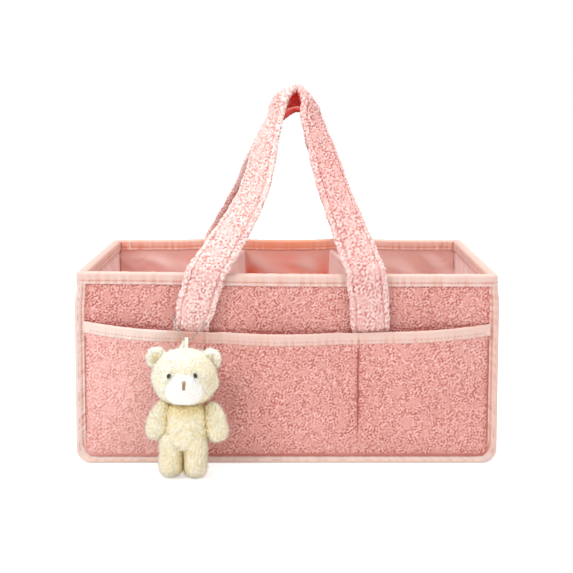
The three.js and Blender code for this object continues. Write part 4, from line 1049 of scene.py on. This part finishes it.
def add_pocket_tape(side, mirrored, seed):
    """Tape folded over the pocket's mouth, stitched along its lower edge and tacked down at the two seams."""
    edge = FACE_HALF + 0.5
    x = np.linspace(-edge, edge, int(2 * edge / TAPE_STEP))
    mouth = mouth_height(x)
    thick = pocket_thickness(FACE_HALF - np.abs(x)) + 0.9
    wave = ripples(len(x), TAPE_STEP, POCKET_PUCKER_WIDTH, seed)
    levels = np.linspace(0, 1, 9)
    sewn_level = STITCH_INSET / POCKET_TAPE_DROP

    def layer(depth_share, z):
        """Y of the tape's inner layer, at zero, to its outer one, at one."""
        return PANEL_Y - pocket_room(x, z) + 0.5 - depth_share * thick

    tacked = sum(hump(x - seam, 1.3) for seam in SEAMS)
    outer, inner = [], []
    for level in levels:
        z = mouth - POCKET_TAPE_DROP * (1 - level) - 1.2 * level
        push = PUCKER * wave * (1 - level) ** 1.3 - 0.3 * hump(level - sewn_level, 0.09) - 0.6 * tacked
        outer.append(points_at(x, layer(1, z) - push, z))
        inner.append(points_at(x, layer(0, z), z))
    top_z = mouth + 0.1 * wave
    crown = [points_at(x, mix(layer(1, mouth), layer(0, mouth), s), top_z - 1.2 * (2 * s - 1) ** 2)
             for s in (0.2, 0.4, 0.6, 0.8)]
    path = np.stack([*outer, *crown, *inner[::-1]], 1)
    tangent = np.gradient(path, axis=1)
    ways = unit(np.cross((1.0, 0, 0), tangent))
    rings = np.concatenate([path, (path - TAPE * ways)[:, ::-1]], 1)
    share = np.concatenate([levels, np.ones(len(crown)), levels[::-1]])
    # Painted shadow of the bear beside the chain, and painted light at the left end and on the puckers' tops;
    # the tape is also darker along its lower edge.
    painted_warm_shade = 0.35 * hump(x - CHAIN_X, 13) * (side == "front")
    left = 0.45 * smoothstep(-x, 92, 125)
    shade = 0.6 + 0.1 * wave[:, None] * (1 - share) - 0.1 * (share < 0.15) + (left - painted_warm_shade)[:, None]
    shade = np.concatenate([shade, shade[:, ::-1] * 0.8], 1)
    add_tape(f"{side}_pocket_binding", f"{side}_pocket_tape", rings, shade, mirrored=mirrored)

    z = mouth - POCKET_TAPE_DROP + STITCH_INSET
    on_tape = layer(1, z) - PUCKER * wave * (1 - sewn_level) ** 1.3 + 0.05
    rows = [stitch_row(points_at(x, on_tape, z)[6:-6])]
    for seam in SEAMS:
        height = np.linspace(0.8 - POCKET_TAPE_DROP, -0.8, 30) + mouth_height(seam)
        y = np.array([np.interp(seam, x, layer(1, z)) for z in height]) + 0.75
        rows.append(stitch_row(points_at(seam, y, height), pitch=2.4, length=2.0))
    add_stitches(f"{side}_pocket_stitches", joined(rows), mirrored)


# Lining and dividers

def satin(name, node, along, up, place, inward, seed, mask, lean, tone=0.5, painted_warm_shade=0.0):
    """A lining sheet with soft slanting folds. place gives its wall face from the two grids."""
    a, z = np.meshgrid(along, up)
    steps = (up[1] - up[0], along[1] - along[0])
    fold = banded_noise(a.shape, steps, LINING_FOLD, seed, 0.35, lean)
    crease = banded_noise(a.shape, steps, LINING_CREASE, seed + 1, 0.4, lean + 0.3, 0.35)
    from_tack = np.hypot(np.abs(a) - CORNER_TACKS[0] + 4, z - RIM_FOOT - 2)
    swags = hump(from_tack - 11, 2.2) + hump(from_tack - 18, 2.6)
    folds = 0.55 * np.clip(fold, -0.6, 2.2) + 0.25 * np.clip(crease, 0, 2) + 0.7 * swags
    height = np.maximum(folds * mask(a, z) + 0.15, 0)
    wall = place(a, z)
    inner = wall + (0.55 + height)[..., None] * np.array(inward)
    divider = np.mean([end[0] for end in box_mm("right_divider_back_hook_tape")])
    # Painted warm shade in the middle of a long lining, deepest in the middle compartment beside the
    # dividers, below the rim.
    beside = hump(divider - 4 - np.abs(a), 11) * falling(z, RIM_FOOT - 30, RIM_FOOT - 4)
    tone = tone - painted_warm_shade * (hump(a, 40) + 2.2 * beside * (np.abs(a) < divider))
    # The folds' ridges are paler and their hollows darker: painted light and shade.
    pile = np.concatenate([(tone + 0.26 * (height - height.mean())).ravel(), np.full(a.size, 0.4)])
    made = make_object(name, closed_sheet(inner, wall), satin_finish, pile)
    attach(made, "caddy")
    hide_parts(node)


def lining_mask(a, z):
    """Where the lining hangs loose: not at the floor, behind the hook-and-loop tape or under the rim tape."""
    low, high = box_mm("front_loop_tape")
    under = smoothstep(z, 14, 30) * falling(z, low[2] - 14, low[2] - 2)
    over = smoothstep(z, high[2] + 1, high[2] + 14) * falling(z, RIM_FOOT - 12, RIM_FOOT + 1)
    return under + over


def add_linings():
    """The lining of the four walls and the floor."""
    z = even_points(LINING_LOW[2], CLOTH_TOP, LINING_STEP)
    x = even_points(LINING_LOW[0], LINING_HIGH[0], LINING_STEP)
    # Painted light: the long linings paler towards the back's right end and the front's left end, and the end
    # linings paler than the long ones.
    right_painted_light = 0.5 + 0.12 * smoothstep(x, 60, 90)
    for side, s, seed in (("front", 1, 301), ("back", -1, 311)):
        place = lambda a, up, s=s: points_at(s * a, s * LINING_LOW[1], up)[:, ::-1]
        satin(f"{side}_satin", f"{side}_lining", x, z, place, (0, s, 0), seed, lining_mask, 0.9,
              tone=right_painted_light, painted_warm_shade=0.16)
    y = even_points(END_LINING_LOW[1], END_LINING_HIGH[1], LINING_STEP)
    for side, s, seed in (("right", 1, 321), ("left", -1, 331)):
        place = lambda a, up, s=s: points_at(s * END_LINING_HIGH[0], s * a, up)[:, ::-1]
        satin(f"{side}_satin", f"{side}_lining", y, z, place, (-s, 0, 0), seed, lining_mask, 0.7, tone=0.85)
    x, y = (even_points(FLOOR_LOW[k], FLOOR_HIGH[k], LINING_STEP) for k in (0, 1))
    place = lambda a, b: points_at(a, b, FLOOR_LOW[2])
    nearly_flat = lambda a, b: 0.12 * smoothstep(FLOOR_HIGH[0] - np.abs(a), 0, 20)
    satin("floor_satin", "base_lining", x, y, place, (0, 0, 1), 341, nearly_flat, 0.5)


def add_divider(side, seed):
    """A padded divider that stands askew: a lined board with soft faces, and a flange at each end."""
    name = f"{side}_divider"
    low, high = box_mm(name)
    tapes = [box_mm(f"{name}_{end}_hook_tape") for end in ("front", "back")]
    front_x, back_x = ((a[0] + b[0]) / 2 for a, b in tapes)
    rounded = DIVIDER_ROUNDING * np.array([0, 0.06, 0.25, 0.55])

    def lines(k):
        between = even_points(low[k], high[k], DIVIDER_STEP)[1:-1]
        return np.sort(np.concatenate([between, low[k] + rounded, high[k] - rounded]))

    y, z = np.meshgrid(lines(1), lines(2))
    share = (y - low[1]) / (high[1] - low[1])
    bow = DIVIDER_BOW * np.sin(np.pi * share**0.8) + DIVIDER_LEAN * smoothstep(share, 0, 0.4)
    middle = mix(front_x, back_x, share) + np.sign(front_x) * bow * (z / high[2]) ** 2
    from_edge = np.minimum(np.minimum(y - low[1], high[1] - y), np.minimum(z - low[2], high[2] - z))
    rounding = np.sqrt(1 - (1 - np.clip(from_edge / DIVIDER_ROUNDING, 0, 1)) ** 2)
    loose = banded_noise(y.shape, DIVIDER_STEP, DIVIDER_SWELL, seed)
    seam = 0.5 * hump(from_edge - 6, 0.9)
    thick = (DIVIDER_HALF - 0.5) * rounding + 0.35 - seam + 0.25 * loose * smoothstep(from_edge, 6, 30)
    padding = closed_sheet(points_at(middle + thick, y, z), points_at(middle - thick, y, z))
    flanges = []
    for (tape_low, tape_high), end, s in zip(tapes, (low[1], high[1]), (1, -1)):
        u, v = (np.linspace(tape_low[k], tape_high[k], count) for k, count in ((0, 9), (2, 13)))
        plate = points_at(u, end + s, v[:, None])
        form = closed_sheet(plate - (0, s, 0), plate)
        flanges.append(form if s > 0 else mirrored_faces(form))
    form = joined([padding, *flanges])
    pile = np.full(len(form[0]), 0.75)
    # Darker along the seam: painted shade in its groove.
    pile[: 2 * y.size] = np.tile((0.95 + 0.1 * loose - 0.35 * seam).ravel(), 2)
    body = f"{side}_divider_panel"
    made = add_piece(f"{side}_divider_pad", form, divider_lit_finish, body, "lining", name, pile=pile)


# Handles

def strap_section(count):
    """Places round a stuffed strap, as shares of its half width and half thickness, with sewn edges."""
    turn = np.linspace(0, 2 * np.pi, 1200)
    wide = np.sign(np.cos(turn)) * np.abs(np.cos(turn)) ** 0.8
    from_edge = (1 - np.abs(wide)) * STRAP_WIDTH / 2
    sewn = 1 - 0.5 * hump(from_edge - SEWN_INSET, 1.1)
    thick = np.sin(turn) * (1 - 0.1 * np.abs(wide) ** 3) * sewn
    section = points_at(wide, thick)
    lengths = run_lengths(section * (STRAP_WIDTH, STRAP_THICKNESS))
    return resampled(section, lengths, np.linspace(0, lengths[-1], count, endpoint=False)).T


def handle_line(loop, pivot):
    """Stations of one handle from its left foot over the top to its right foot, in the front's axes."""
    pivot_y, pivot_z = -abs(pivot[1]), pivot[2]
    apex = np.array([loop["apex_x"], APEX_Y, pivot_z + loop["rise"]])

    def leg(rim_x, side):
        rim = np.array([rim_x, pivot_y, pivot_z])
        share = 1 - FOLD_DROP / loop["rise"]
        spread = side * loop["spread"][side > 0]
        top = np.array([loop["apex_x"] + spread, mix(pivot_y, APEX_Y, share), apex[2] - FOLD_DROP])
        middle = (rim + top) / 2 + (-side * loop["bow"][side > 0], 0, 0)
        arch = apex + (side * ARCH_HALF[side > 0], (pivot_y - APEX_Y) * ARCH_DROP / loop["rise"], -ARCH_DROP)
        return [rim, middle, top, arch]

    knots = [*leg(STRAP_X["left"][1], -1), apex, *leg(STRAP_X["right"][1], 1)[::-1]]
    shares = np.linspace(0, 1, LOOP_POINTS)
    over = catmull_rom(knots, shares)
    from_top = 1 - 2 * shares
    power = np.where(from_top > 0, *TWIST_POWER)
    turn = np.pi / 2 * (1 - np.sign(from_top) * np.abs(from_top) ** power)
    lift = np.sin(turn)
    across = points_at(np.cos(turn), -lift * math.cos(APEX_TILT), lift * math.sin(APEX_TILT))
    half = np.full(len(shares), STRAP_THICKNESS / 2)
    feet = []
    for foot_x, rim_x in STRAP_X.values():
        z = np.linspace(FOOT_Z, pivot_z, FOOT_POINTS, endpoint=False)
        x, out, thick = strap_foot(z, foot_x, rim_x)
        feet.append((points_at(x, PANEL_Y - out, z), thick))
    ahead = np.tile((1.0, 0, 0), (FOOT_POINTS, 1))
    line = np.concatenate([feet[0][0], over, feet[1][0][::-1]])
    across = np.concatenate([ahead, across, -ahead])
    half = np.concatenate([feet[0][1], half, feet[1][1][::-1]])
    return line, across, half


def smoothed(vectors, reach=12):
    """Directions along a line, each averaged with its neighbours."""
    kernel = np.hanning(2 * reach + 1)
    longer = np.pad(vectors, ((reach, reach), (0, 0)), mode="edge")
    return unit(np.stack([np.convolve(column, kernel / kernel.sum(), "valid") for column in longer.T], 1))


def strap_tone(height, wide, thick, from_top, mirrored):
    """Tone of a strap's pile: paler at its feet and margins. Painted light on its curls' tips, and painted
    shade in their gaps, along its sewn lines, on its right leg and, deep red, in its fold.
    """
    sewn = hump((1 - np.abs(wide)) * STRAP_WIDTH / 2 - SEWN_INSET, 1.0)
    margin = smoothstep(np.abs(wide), 0.76, 0.84)
    right, foot = smoothstep(from_top, -10, 30), smoothstep(np.abs(from_top), 80, 190)
    dark = mix(mix(0.25, 0.18, right), mix(0.28, 0.26, right), foot)
    pale = mix(mix(0.98, 0.75, right), mix(1.06, 0.87, right), foot)
    tone = mix(dark, pale, height * (1 - 0.6 * sewn)) + 0.1 * margin
    # Painted shade of the fold on the strap's inner face near the top.
    inside = smoothstep(-thick, 0.2, 0.55)
    if mirrored:  # painted light on the back handle's left leg, which shows beside the front handle, and painted shade on its edge near the top
        inside = np.maximum(inside, 0.92 * smoothstep(-wide, 0.62, 0.92))
        tone = tone + 0.32 * smoothstep(-from_top, 30, 45) * falling(-from_top, 105, 130)
    return tone * (1 - falling(np.abs(from_top), 16, 30) * inside)


def add_handle(side, mirrored, seed):
    """A stuffed strap from its foot behind the pocket, over the rim, up to a sharp fold and down again."""
    pivot = PIVOTS[f"{side}_handle"]
    line, across, half = handle_line(LOOPS[side], pivot)
    lengths = run_lengths(line)
    count = int(lengths[-1] / STRAP_STEP)
    at = np.linspace(0, lengths[-1], count)
    line, across = resampled(line, lengths, at), resampled(across, lengths, at)
    half = np.interp(at, lengths, half)[:, None]
    from_top = (at - at[np.argmax(line[:, 2])])[:, None]
    along = smoothed(unit(np.gradient(line, axis=0)))
    across = unit(across - along * np.sum(across * along, axis=1, keepdims=True))
    out = np.cross(across, along)

    around = 4 * round((2 * STRAP_WIDTH + 2 * STRAP_THICKNESS) * 0.92 / STRAP_STEP / 4)
    shape = (count, around)
    wide, thick = strap_section(around)
    stuffing = 1 + 0.07 * banded_noise(shape, STRAP_STEP, STRAP_LUMP, seed + 3)
    at_chain = hump(line[:, 2:] - CHAIN_Z + 3, 8) * (line[:, :1] < 0) * (side == "front")
    aside = wide * (STRAP_WIDTH / 2 - STRAP_ROOM) * mix(1, stuffing, 0.3) * (1 - 0.13 * at_chain)
    filled = half - mix(0.3, STRAP_ROOM, smoothstep(half, 2.2, 4.5))
    bulge = np.where(from_top < 0, *FOLD_BULGE) * hump(np.abs(from_top) - 19, 13)
    rise = thick * filled * stuffing + np.maximum(thick, 0) * bulge
    under_fold = hump(from_top, 16 if mirrored else 10) * np.maximum(-thick, 0)
    rise = rise * (1 - 0.6 * under_fold) if mirrored else rise - FOLD_FILLING * under_fold
    rings = line[:, None] + aside[..., None] * across[:, None] + rise[..., None] * out[:, None]

    normals = ring_normals(rings)
    normals = normals * np.sign(np.sum(normals * (rings - line[:, None])))
    height = curls(shape, STRAP_STEP, STRAP_CURL_WIDTH, seed)
    pile = height * STRAP_CURL_HEIGHT * mix(0.25, 1, smoothstep(half, 2.3, 4.2)) * (1 - 0.6 * at_chain)
    rings = rings + normals * pile[..., None]
    form = tube(rings)
    facing = np.cross(rings[1, 1] - rings[1, 0], rings[2, 0] - rings[1, 0])
    if np.sum(facing * (rings[1, 0] - line[1])) < 0:
        form = mirrored_faces(form)
    form = mirror_y(form) if mirrored else form
    tone = strap_tone(height, wide, thick, from_top, mirrored)
    made = make_object(f"{side}_handle_strap", form, strap_finish, tone)
    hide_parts(f"{side}_handle_loop", f"{side}_handle_left_end", f"{side}_handle_right_end")
    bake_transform(made)


# Charm

def ball(radius, centre, turns=12, rows=8):
    """A round form, closed at both poles."""
    tilt = np.linspace(0.02, np.pi - 0.02, rows)[:, None]
    turn = full_turn(turns)
    rings = points_at(np.sin(tilt) * np.cos(turn), np.sin(tilt) * np.sin(turn), -np.cos(tilt))
    return tube(np.asarray(centre) + np.asarray(radius) * rings)


def add_chain():
    """The ball chain: separate balls on short links, closed by a coupling behind the strap."""
    right, left = ([(CHAIN_X + s * aside + CHAIN_SHIFT * shift, y, z) for aside, y, z, shift in half]
                   for s, half in ((1, CHAIN_RIGHT), (-1, CHAIN_LEFT)))
    knots = np.array(right + left[::-1])
    closed = np.concatenate([knots[-2:], knots, knots[:3]])
    span = len(closed) - 1
    dense = catmull_rom(closed, np.linspace(2 / span, (2 + len(knots)) / span, 900))
    places = evenly(dense, BALL_PITCH)[:-1]
    balls = [ball(BALL_RADIUS, p) for p in places]
    links = []
    turn = full_turn(6)[:, None]
    for a, b in zip(places, np.roll(places, -1, axis=0)):
        along = unit(b - a)
        side = unit(np.cross(along, (0.1, 0.2, 1)))
        ring = LINK_RADIUS * (np.cos(turn) * side + np.sin(turn) * np.cross(along, side))
        links.append(tube(np.stack([mix(a, b, s) + ring for s in (0.25, 0.5, 0.75)])))
    add_piece("ball_chain", joined(balls + links), steel_finish, "chain", "chain", "charm_chain")

    low, high = box_mm("charm_chain_coupling")
    middle, length, radius = (low + high) / 2, high[0] - low[0], (high[2] - low[2]) / 2
    turn = full_turn(20)
    share, girth = np.array(COUPLING_OUTLINE).T[..., None]
    rings = points_at(share * length, girth * radius * np.cos(turn), girth * radius * np.sin(turn))
    add_piece("chain_sleeve", tube(middle + rings), steel_finish, "chain", "chain", "charm_chain_coupling")


def add_ribbon():
    """The ribbon's two ends come out of the crown together, and its loop holds the chain."""
    low, high = box_mm("charm_ribbon")
    middle_x, width = (low[0] + high[0]) / 2, high[0] - low[0]
    hold, crown = np.array(RIBBON_HOLD), np.array(RIBBON_CROWN)
    lean = math.atan2(*(hold - crown)[::-1])
    turn = np.linspace(lean - 1.7, lean + 1.7, 22)
    round_chain = hold + RIBBON_RADIUS * points_at(np.cos(turn), np.sin(turn))
    apart = 0.9 * np.array([math.sin(lean), -math.cos(lean)])
    rising = np.linspace(crown + apart, round_chain[0], 12)[:-1]
    sinking = np.linspace(round_chain[-1], crown - apart, 12)[1:]
    path = np.concatenate([rising, round_chain, sinking])
    along = unit(np.gradient(path, axis=0))
    out = points_at(along[:, 1], -along[:, 0]) * RIBBON_THICKNESS / 2
    share = np.linspace(-1, 1, len(path))
    aside = np.where(share < 0, -RIBBON_SPREAD, 0.0) * share**2
    half = width / 2 * mix(0.7, 0.85, share**2)
    edges = [np.column_stack([middle_x + aside + w * half, path + t * out]) for w, t in RIBBON_SECTION]
    add_piece("ribbon_loop", tube(np.stack(edges, 1)), ribbon_finish, "bear", "ribbon", "charm_ribbon")


# Bear

def lathe(profile, radii, height, rows=44, turns=64):
    """A stuffed form about Z from [share of the radius, share of the height], bottom to top."""
    knots = np.array([(r, h, 0) for r, h in profile])
    line = catmull_rom(knots, np.linspace(0, 1, rows))
    girth, level = np.maximum(line[:, :1], 0.004), line[:, 1:2] * height
    turn = full_turn(turns)
    return points_at(girth * np.cos(turn) * radii[0], girth * np.sin(turn) * radii[1], level)


def plush_skin(rings, pile, seed):
    """A form with uneven stuffing and a fine tufted pile, and the pile's height on it from 0 to 1."""
    middle = rings.mean((0, 1))
    fade = np.sin(np.linspace(0, np.pi, len(rings)))[:, None]
    rings = rings + unit(rings - middle) * (0.4 * field(rings, 16, seed) * fade)[..., None]
    normals = ring_normals(rings)
    normals = normals * np.sign(np.sum(normals * (rings - middle)))
    height = smoothstep(field(rings, PLUSH_TUFT, seed + 1), -1.3, 1.3)
    return rings + normals * (pile * (height - 0.5) * fade**0.3)[..., None], height


def furred(rings, height, count, length, seed, tone):
    """A plush skin with loose hairs that stand out from it, as one form and the tones of its pile.

    tone gives what is added at a point: below zero for painted shade in creases and hollows, above zero for
    painted light.
    """
    points, groups = tube(rings)
    quads = groups[0][0]
    corners = points[quads]
    normal = np.cross(corners[:, 2] - corners[:, 0], corners[:, 3] - corners[:, 1])
    area = np.linalg.norm(normal, axis=1) / 2
    sign = np.sign(np.sum(normal * (corners.mean(1) - points.mean(0))))
    normal = unit(normal) * sign
    if sign < 0:
        points, groups = mirrored_faces((points, groups))
    rng = np.random.default_rng(seed)
    picked = rng.choice(len(quads), count, p=area / area.sum())
    u, v = rng.random((2, count, 1))
    c = corners[picked]
    roots = mix(mix(c[:, 0], c[:, 1], u), mix(c[:, 3], c[:, 2], u), v)
    way = normal[picked]
    heading = unit(way + rng.normal(0, 0.35, (count, 3)) - (0, 0, 0.25))
    reach = length * rng.uniform(0.5, 1.1, (count, 1))
    side = unit(np.cross(heading, rng.normal(0, 1, (count, 3))))
    over = np.cross(heading, side)
    foot = [HAIR_GIRTH * (math.cos(a) * side + math.sin(a) * over) for a in full_turn(3)]
    ring = [roots - 0.3 * way + corner for corner in foot]
    hairs = np.stack([*ring, roots + reach * heading], 1).reshape(-1, 3)
    at = len(points) + 4 * np.arange(count)[:, None]
    faces = np.concatenate([at + np.array([k, (k + 1) % 3, 3]) for k in range(3)])
    place = np.tile(np.array([(0.0, 0.97), (0.004, 0.97), (0.002, 1.0)])[None], (count, 1, 1))
    place = place + rng.random((count, 1, 1)) * (0.99, 0)
    groups = groups + [(faces, np.tile(place, (3, 1, 1)))]
    # Paler on the tufts' tops as painted light, with each piece's painted shade and light added.
    skin = 0.7 + 0.26 * height.ravel() + 0.04 * field(points, 9, seed) + tone(points)
    pile = np.concatenate([skin, np.repeat(0.95 + tone(roots), 4)])
    return (np.concatenate([points, hairs]), groups), pile


# Outlines of the bear's pieces, bottom to top, as shares of radius and height
HEAD = ((0, -0.5), (0.5, -0.47), (0.84, -0.33), (1, -0.1), (0.96, 0.13), (0.78, 0.33), (0.44, 0.46), (0, 0.5))
TORSO = ((0, 0), (0.6, 0.03), (0.95, 0.17), (1.0, 0.36), (0.94, 0.6), (0.82, 0.85), (0, 1))
ARM = ((0, -0.5), (0.62, -0.46), (1, -0.26), (0.98, 0.02), (0.78, 0.3), (0.42, 0.47), (0, 0.5))
LEG = ((0, -0.5), (0.66, -0.47), (0.98, -0.32), (1, -0.05), (0.98, 0.22), (0.8, 0.43), (0, 0.5))
MUZZLE = ((0, -0.5), (0.62, -0.46), (0.95, -0.27), (1, -0.08), (0.86, 0.18), (0.6, 0.38), (0.3, 0.475),
          (0, 0.5))
ROUND = ((0, -0.5), (0.5, -0.433), (0.866, -0.25), (1, 0), (0.866, 0.25), (0.5, 0.433), (0, 0.5))


def bear_place(points):
    """Points given from the bear's soles, put where the bear hangs."""
    hold = next(np.array(j["pos_m"]) for j in frame["joints"] if j["name"] == "bear_swing") / MM
    soles = hold - (HOLD_HEIGHT * math.sin(BEAR_LEAN), HOLD_AHEAD, HOLD_HEIGHT)
    return turned(points, BEAR_LEAN) + soles


def add_plush(name, rings, hairs, seed, node, tone=None, muzzle=False):
    """A stuffed piece of the bear. Its soles stay over the floor."""
    plain = lambda points: np.zeros(len(points))
    rings, height = plush_skin(rings, MUZZLE_PILE if muzzle else PLUSH_PILE, seed)
    length = MUZZLE_HAIR_LENGTH if muzzle else HAIR_LENGTH
    (points, groups), pile = furred(rings, height, hairs, length, seed + 2, tone or plain)
    finish, slot = (muzzle_finish, "muzzle_plush") if muzzle else (plush_finish, "bear_plush")
    points = bear_place(points)
    points[:, 2] = np.maximum(points[:, 2], FLOOR_GAP)
    made = add_piece(name, (points, groups), finish, "bear", slot, node, pile=pile)


def turned(points, angle):
    """Points leaned about the Y axis."""
    x, y, z = np.moveaxis(points, -1, 0)
    cos, sin = math.cos(angle), math.sin(angle)
    return points_at(x * cos + z * sin, y, -x * sin + z * cos)


def add_bear():
    """The plush bear: soft forms with a fluffy pile, a white muzzle, bead eyes and a sewn nose."""
    head = lathe(HEAD, (29 - PLUSH_ROOM, 24.5 - PLUSH_ROOM), 49.5 - 2 * PLUSH_ROOM, 100, 190) + (0, 0, HEAD_Z)
    # Painted shade on the head's right side and under it.
    add_plush("bear_head_plush", head, 6500, 401, "bear_head",
              tone=lambda p: 0.03 - 0.1 * smoothstep(p[:, 0], 8, 28) - 0.2 * smoothstep(-p[:, 2], -76, -66))

    torso = lathe(TORSO, (21 - PLUSH_ROOM, 16 - PLUSH_ROOM), 45, 80, 130) + (1.2, 0, 23)
    # Painted shade at the torso's sides under the arms and at its top under the head; a little darker all
    # over.
    add_plush("bear_torso_plush", torso, 3200, 411, "bear_torso",
              tone=lambda p: (-0.08 - 0.25 * smoothstep(np.abs(p[:, 0] - 1.2), 13, 20)
                              - 0.25 * smoothstep(p[:, 2], 52, 64)))

    for side, s, seed in (("left", -1, 420), ("right", 1, 430)):
        leg = lathe(LEG, (11.2 - PLUSH_ROOM, 12.5 - PLUSH_ROOM), 42 - 1.2 * PLUSH_ROOM, 70, 90)
        # Painted shade on the legs' inner sides, in the crease between them; a little darker all over.
        add_plush(f"bear_{side}_leg_plush", leg + (s * 10.6 - 0.3, -3, 20.6), 2300, seed, f"bear_{side}_leg",
                  tone=lambda p, s=s: -0.09 - 0.35 * smoothstep(-s * p[:, 0], -5.5, -0.5))
        arm = lathe(ARM, (10.4 - PLUSH_ROOM, 10 - PLUSH_ROOM), 35, 60, 80)
        arm = turned(arm, -s * math.radians(14)) + (s * 24.6 + 2.6, -1, 49.5)
        # Painted shade on the arms' inner sides, where they meet the torso; a little darker all over.
        add_plush(f"bear_{side}_arm_plush", arm, 2100, seed + 3, f"bear_{side}_arm",
                  tone=lambda p, s=s: -0.05 - 0.3 * smoothstep(-s * (p[:, 0] - 2.6), -23, -16))
        ear = lathe(ROUND, (9.3, 5.0), 18.9, 44, 64)
        dish = hump(np.hypot(ear[..., 0], ear[..., 2] + 2), 5.5) * (ear[..., 1] < 0)
        ear = ear + dish[..., None] * (0, 3.0, 0) + (s * 23.6 - 1.6, 2, HEAD_Z + 15.2)
        hollow = np.array([s * 21.6 - 1.6, -2, HEAD_Z + 12])
        # Painted shade in the ears' hollows and painted light on the rest.
        add_plush(f"bear_{side}_ear_plush", ear, 1000, seed + 6, f"bear_{side}_ear",
                  tone=lambda p, h=hollow: 0.11 - 0.6 * hump(np.linalg.norm(p - h, axis=1), 6))

    muzzle = lathe(MUZZLE, (16.4, 8.4), 28, 60, 100) + (0.8, -19.5, 83.2)
    add_plush("bear_muzzle_plush", muzzle, 1200, 441, "bear_muzzle", muzzle=True)

    for side, s in (("left", -1), ("right", 1)):
        points, groups = ball((1.75, 1.7, 2.3), (0, 0, 0), 24, 16)
        points = turned(points, -s * math.radians(18)) + (s * 11.4 - 0.7, -23.8, 95 + 0.5 * s)
        bead = bear_place(points), groups
        add_piece(f"bear_{side}_bead", bead, bead_finish, "bear", "bead", f"bear_{side}_eye")

    threads = []
    turn = full_turn(8)
    bow = np.linspace(-1, 1, 11)[:, None]
    level = 87 + 4.3 * bow
    depth = np.interp(level, muzzle[:, 0, 2], muzzle[..., 1].min(1)) - 0.6 + 1.2 * bow**6
    girth = 0.62 * np.sqrt(np.maximum(1 - (bow * 0.98) ** 6, 0.05))
    for s in (-1, 1):
        aside = 1.2 + s * mix(0.55, 0.9, (bow + 1) / 2)
        threads.append(tube(points_at(aside + girth * np.cos(turn), depth + girth * np.sin(turn), level)))
    points, groups = joined(threads)
    nose = bear_place(points), groups
    add_piece("bear_nose_threads", nose, thread_brown, "bear", "thread", "bear_nose")


# Stage

def add_lamp(name, place, width, power):
    data = bpy.data.lights.new(name, "AREA")
    data.shape = "DISK"
    data.size = width
    data.energy = power
    lamp = bpy.data.objects.new(name, data)
    lamp.location = place
    lamp.rotation_euler = (Vector(LAMP_TARGET) - lamp.location).to_track_quat("-Z", "Y").to_euler()
    bpy.context.scene.collection.objects.link(lamp)


def seen_by_camera(tree):
    """One for rays from the camera, also by way of gloss or glass, and zero for rays that light things."""
    rays = tree.nodes.new("ShaderNodeLightPath").outputs
    by_way = (rays["Is Glossy Ray"], rays["Is Transmission Ray"])
    bounced = add_node(tree, "ShaderNodeMath", by_way, operation="MAXIMUM")
    return add_node(tree, "ShaderNodeMath", (rays["Is Camera Ray"], bounced), operation="MAXIMUM")


def add_world():
    """Soft light from all round, which the camera sees as plain white."""
    world = bpy.data.worlds.new("studio")
    world.use_nodes = True
    bpy.context.scene.world = world
    tree = world.node_tree
    light = tree.nodes["Background"]
    light.inputs["Color"].default_value = WORLD_TINT
    light.inputs["Strength"].default_value = WORLD_LEVEL
    white = add_node(tree, "ShaderNodeBackground", (WHITE, 1.0))
    choice = add_node(tree, "ShaderNodeMixShader", (seen_by_camera(tree), light.outputs[0], white))
    tree.links.new(choice, tree.nodes["World Output"].inputs["Surface"])


def add_floor():
    bpy.ops.mesh.primitive_plane_add(size=8, location=(0, 0, FLOOR_Z))
    floor = bpy.context.object
    floor.name = "floor"
    paint = Finish("floor_paint", roughness=1.0, specular=0.0)
    paint.set("Base Color", (FLOOR_GREY, FLOOR_GREY, FLOOR_GREY, 1))
    strength = paint.math("MULTIPLY", seen_by_camera(paint.tree), FLOOR_GLOW)
    glow = paint.node("ShaderNodeEmission", (WHITE, strength))
    both = paint.node("ShaderNodeAddShader", (paint.shader.outputs[0], glow))
    paint.tree.links.new(both, paint.tree.nodes["Material Output"].inputs["Surface"])
    floor.data.materials.append(paint.material)


def add_camera():
    camera = bpy.data.objects.new("camera", bpy.data.cameras.new("camera"))
    camera.location = CAMERA_PLACE
    camera.rotation_euler = (CAMERA_TILT, 0, 0)
    camera.data.sensor_width = SENSOR_WIDTH
    camera.data.lens = LENS_SHARE * SENSOR_WIDTH
    camera.data.clip_start = 0.01
    bpy.context.scene.collection.objects.link(camera)
    bpy.context.scene.camera = camera


def add_stage():
    bpy.context.scene.view_settings.view_transform = "Standard"
    add_world()
    add_floor()
    for lamp in LAMPS:
        add_lamp(*lamp)
    add_camera()


def finish_hidden_nodes():
    """Materials for the CAD nodes that stay as they are."""
    for name, node in frame["nodes"].items():
        finish = board_finish if name.endswith("_board") else hook_finish if "_tape" in name else None
        if finish is not None and not node.hide_render:
            node.data.materials.clear()
            node.data.materials.append(finish)


add_stage()
for side, mirrored, seed in (("front", False, 10), ("back", True, 50)):
    add_long_wall(side, mirrored, seed)
    for k, (bay, left, right) in enumerate(bays()):
        add_pocket(side, bay, left, right, mirrored, seed + 3 * k + 12)
    add_pocket_tape(side, mirrored, seed + 30)
    add_edge_tape(side, mirrored, seed + 32)
    add_handle(side, mirrored, seed + 34)
for k, side in enumerate(("left", "right")):
    add_end_wall(side, 100 + 10 * k)
    add_divider(side, 130 + 10 * k)
add_base(150)
for side, turn, half, out, seed in (
    ("front", 0.0, HALF_WIDTH, HALF_DEPTH, 200),
    ("right", math.pi / 2, HALF_DEPTH, HALF_WIDTH, 210),
    ("back", math.pi, HALF_WIDTH, HALF_DEPTH, 220),
    ("left", 1.5 * math.pi, HALF_DEPTH, HALF_WIDTH, 230),
):
    add_rim(side, turn, half, out, seed)
add_linings()
add_chain()
add_ribbon()
add_bear()
finish_hidden_nodes()
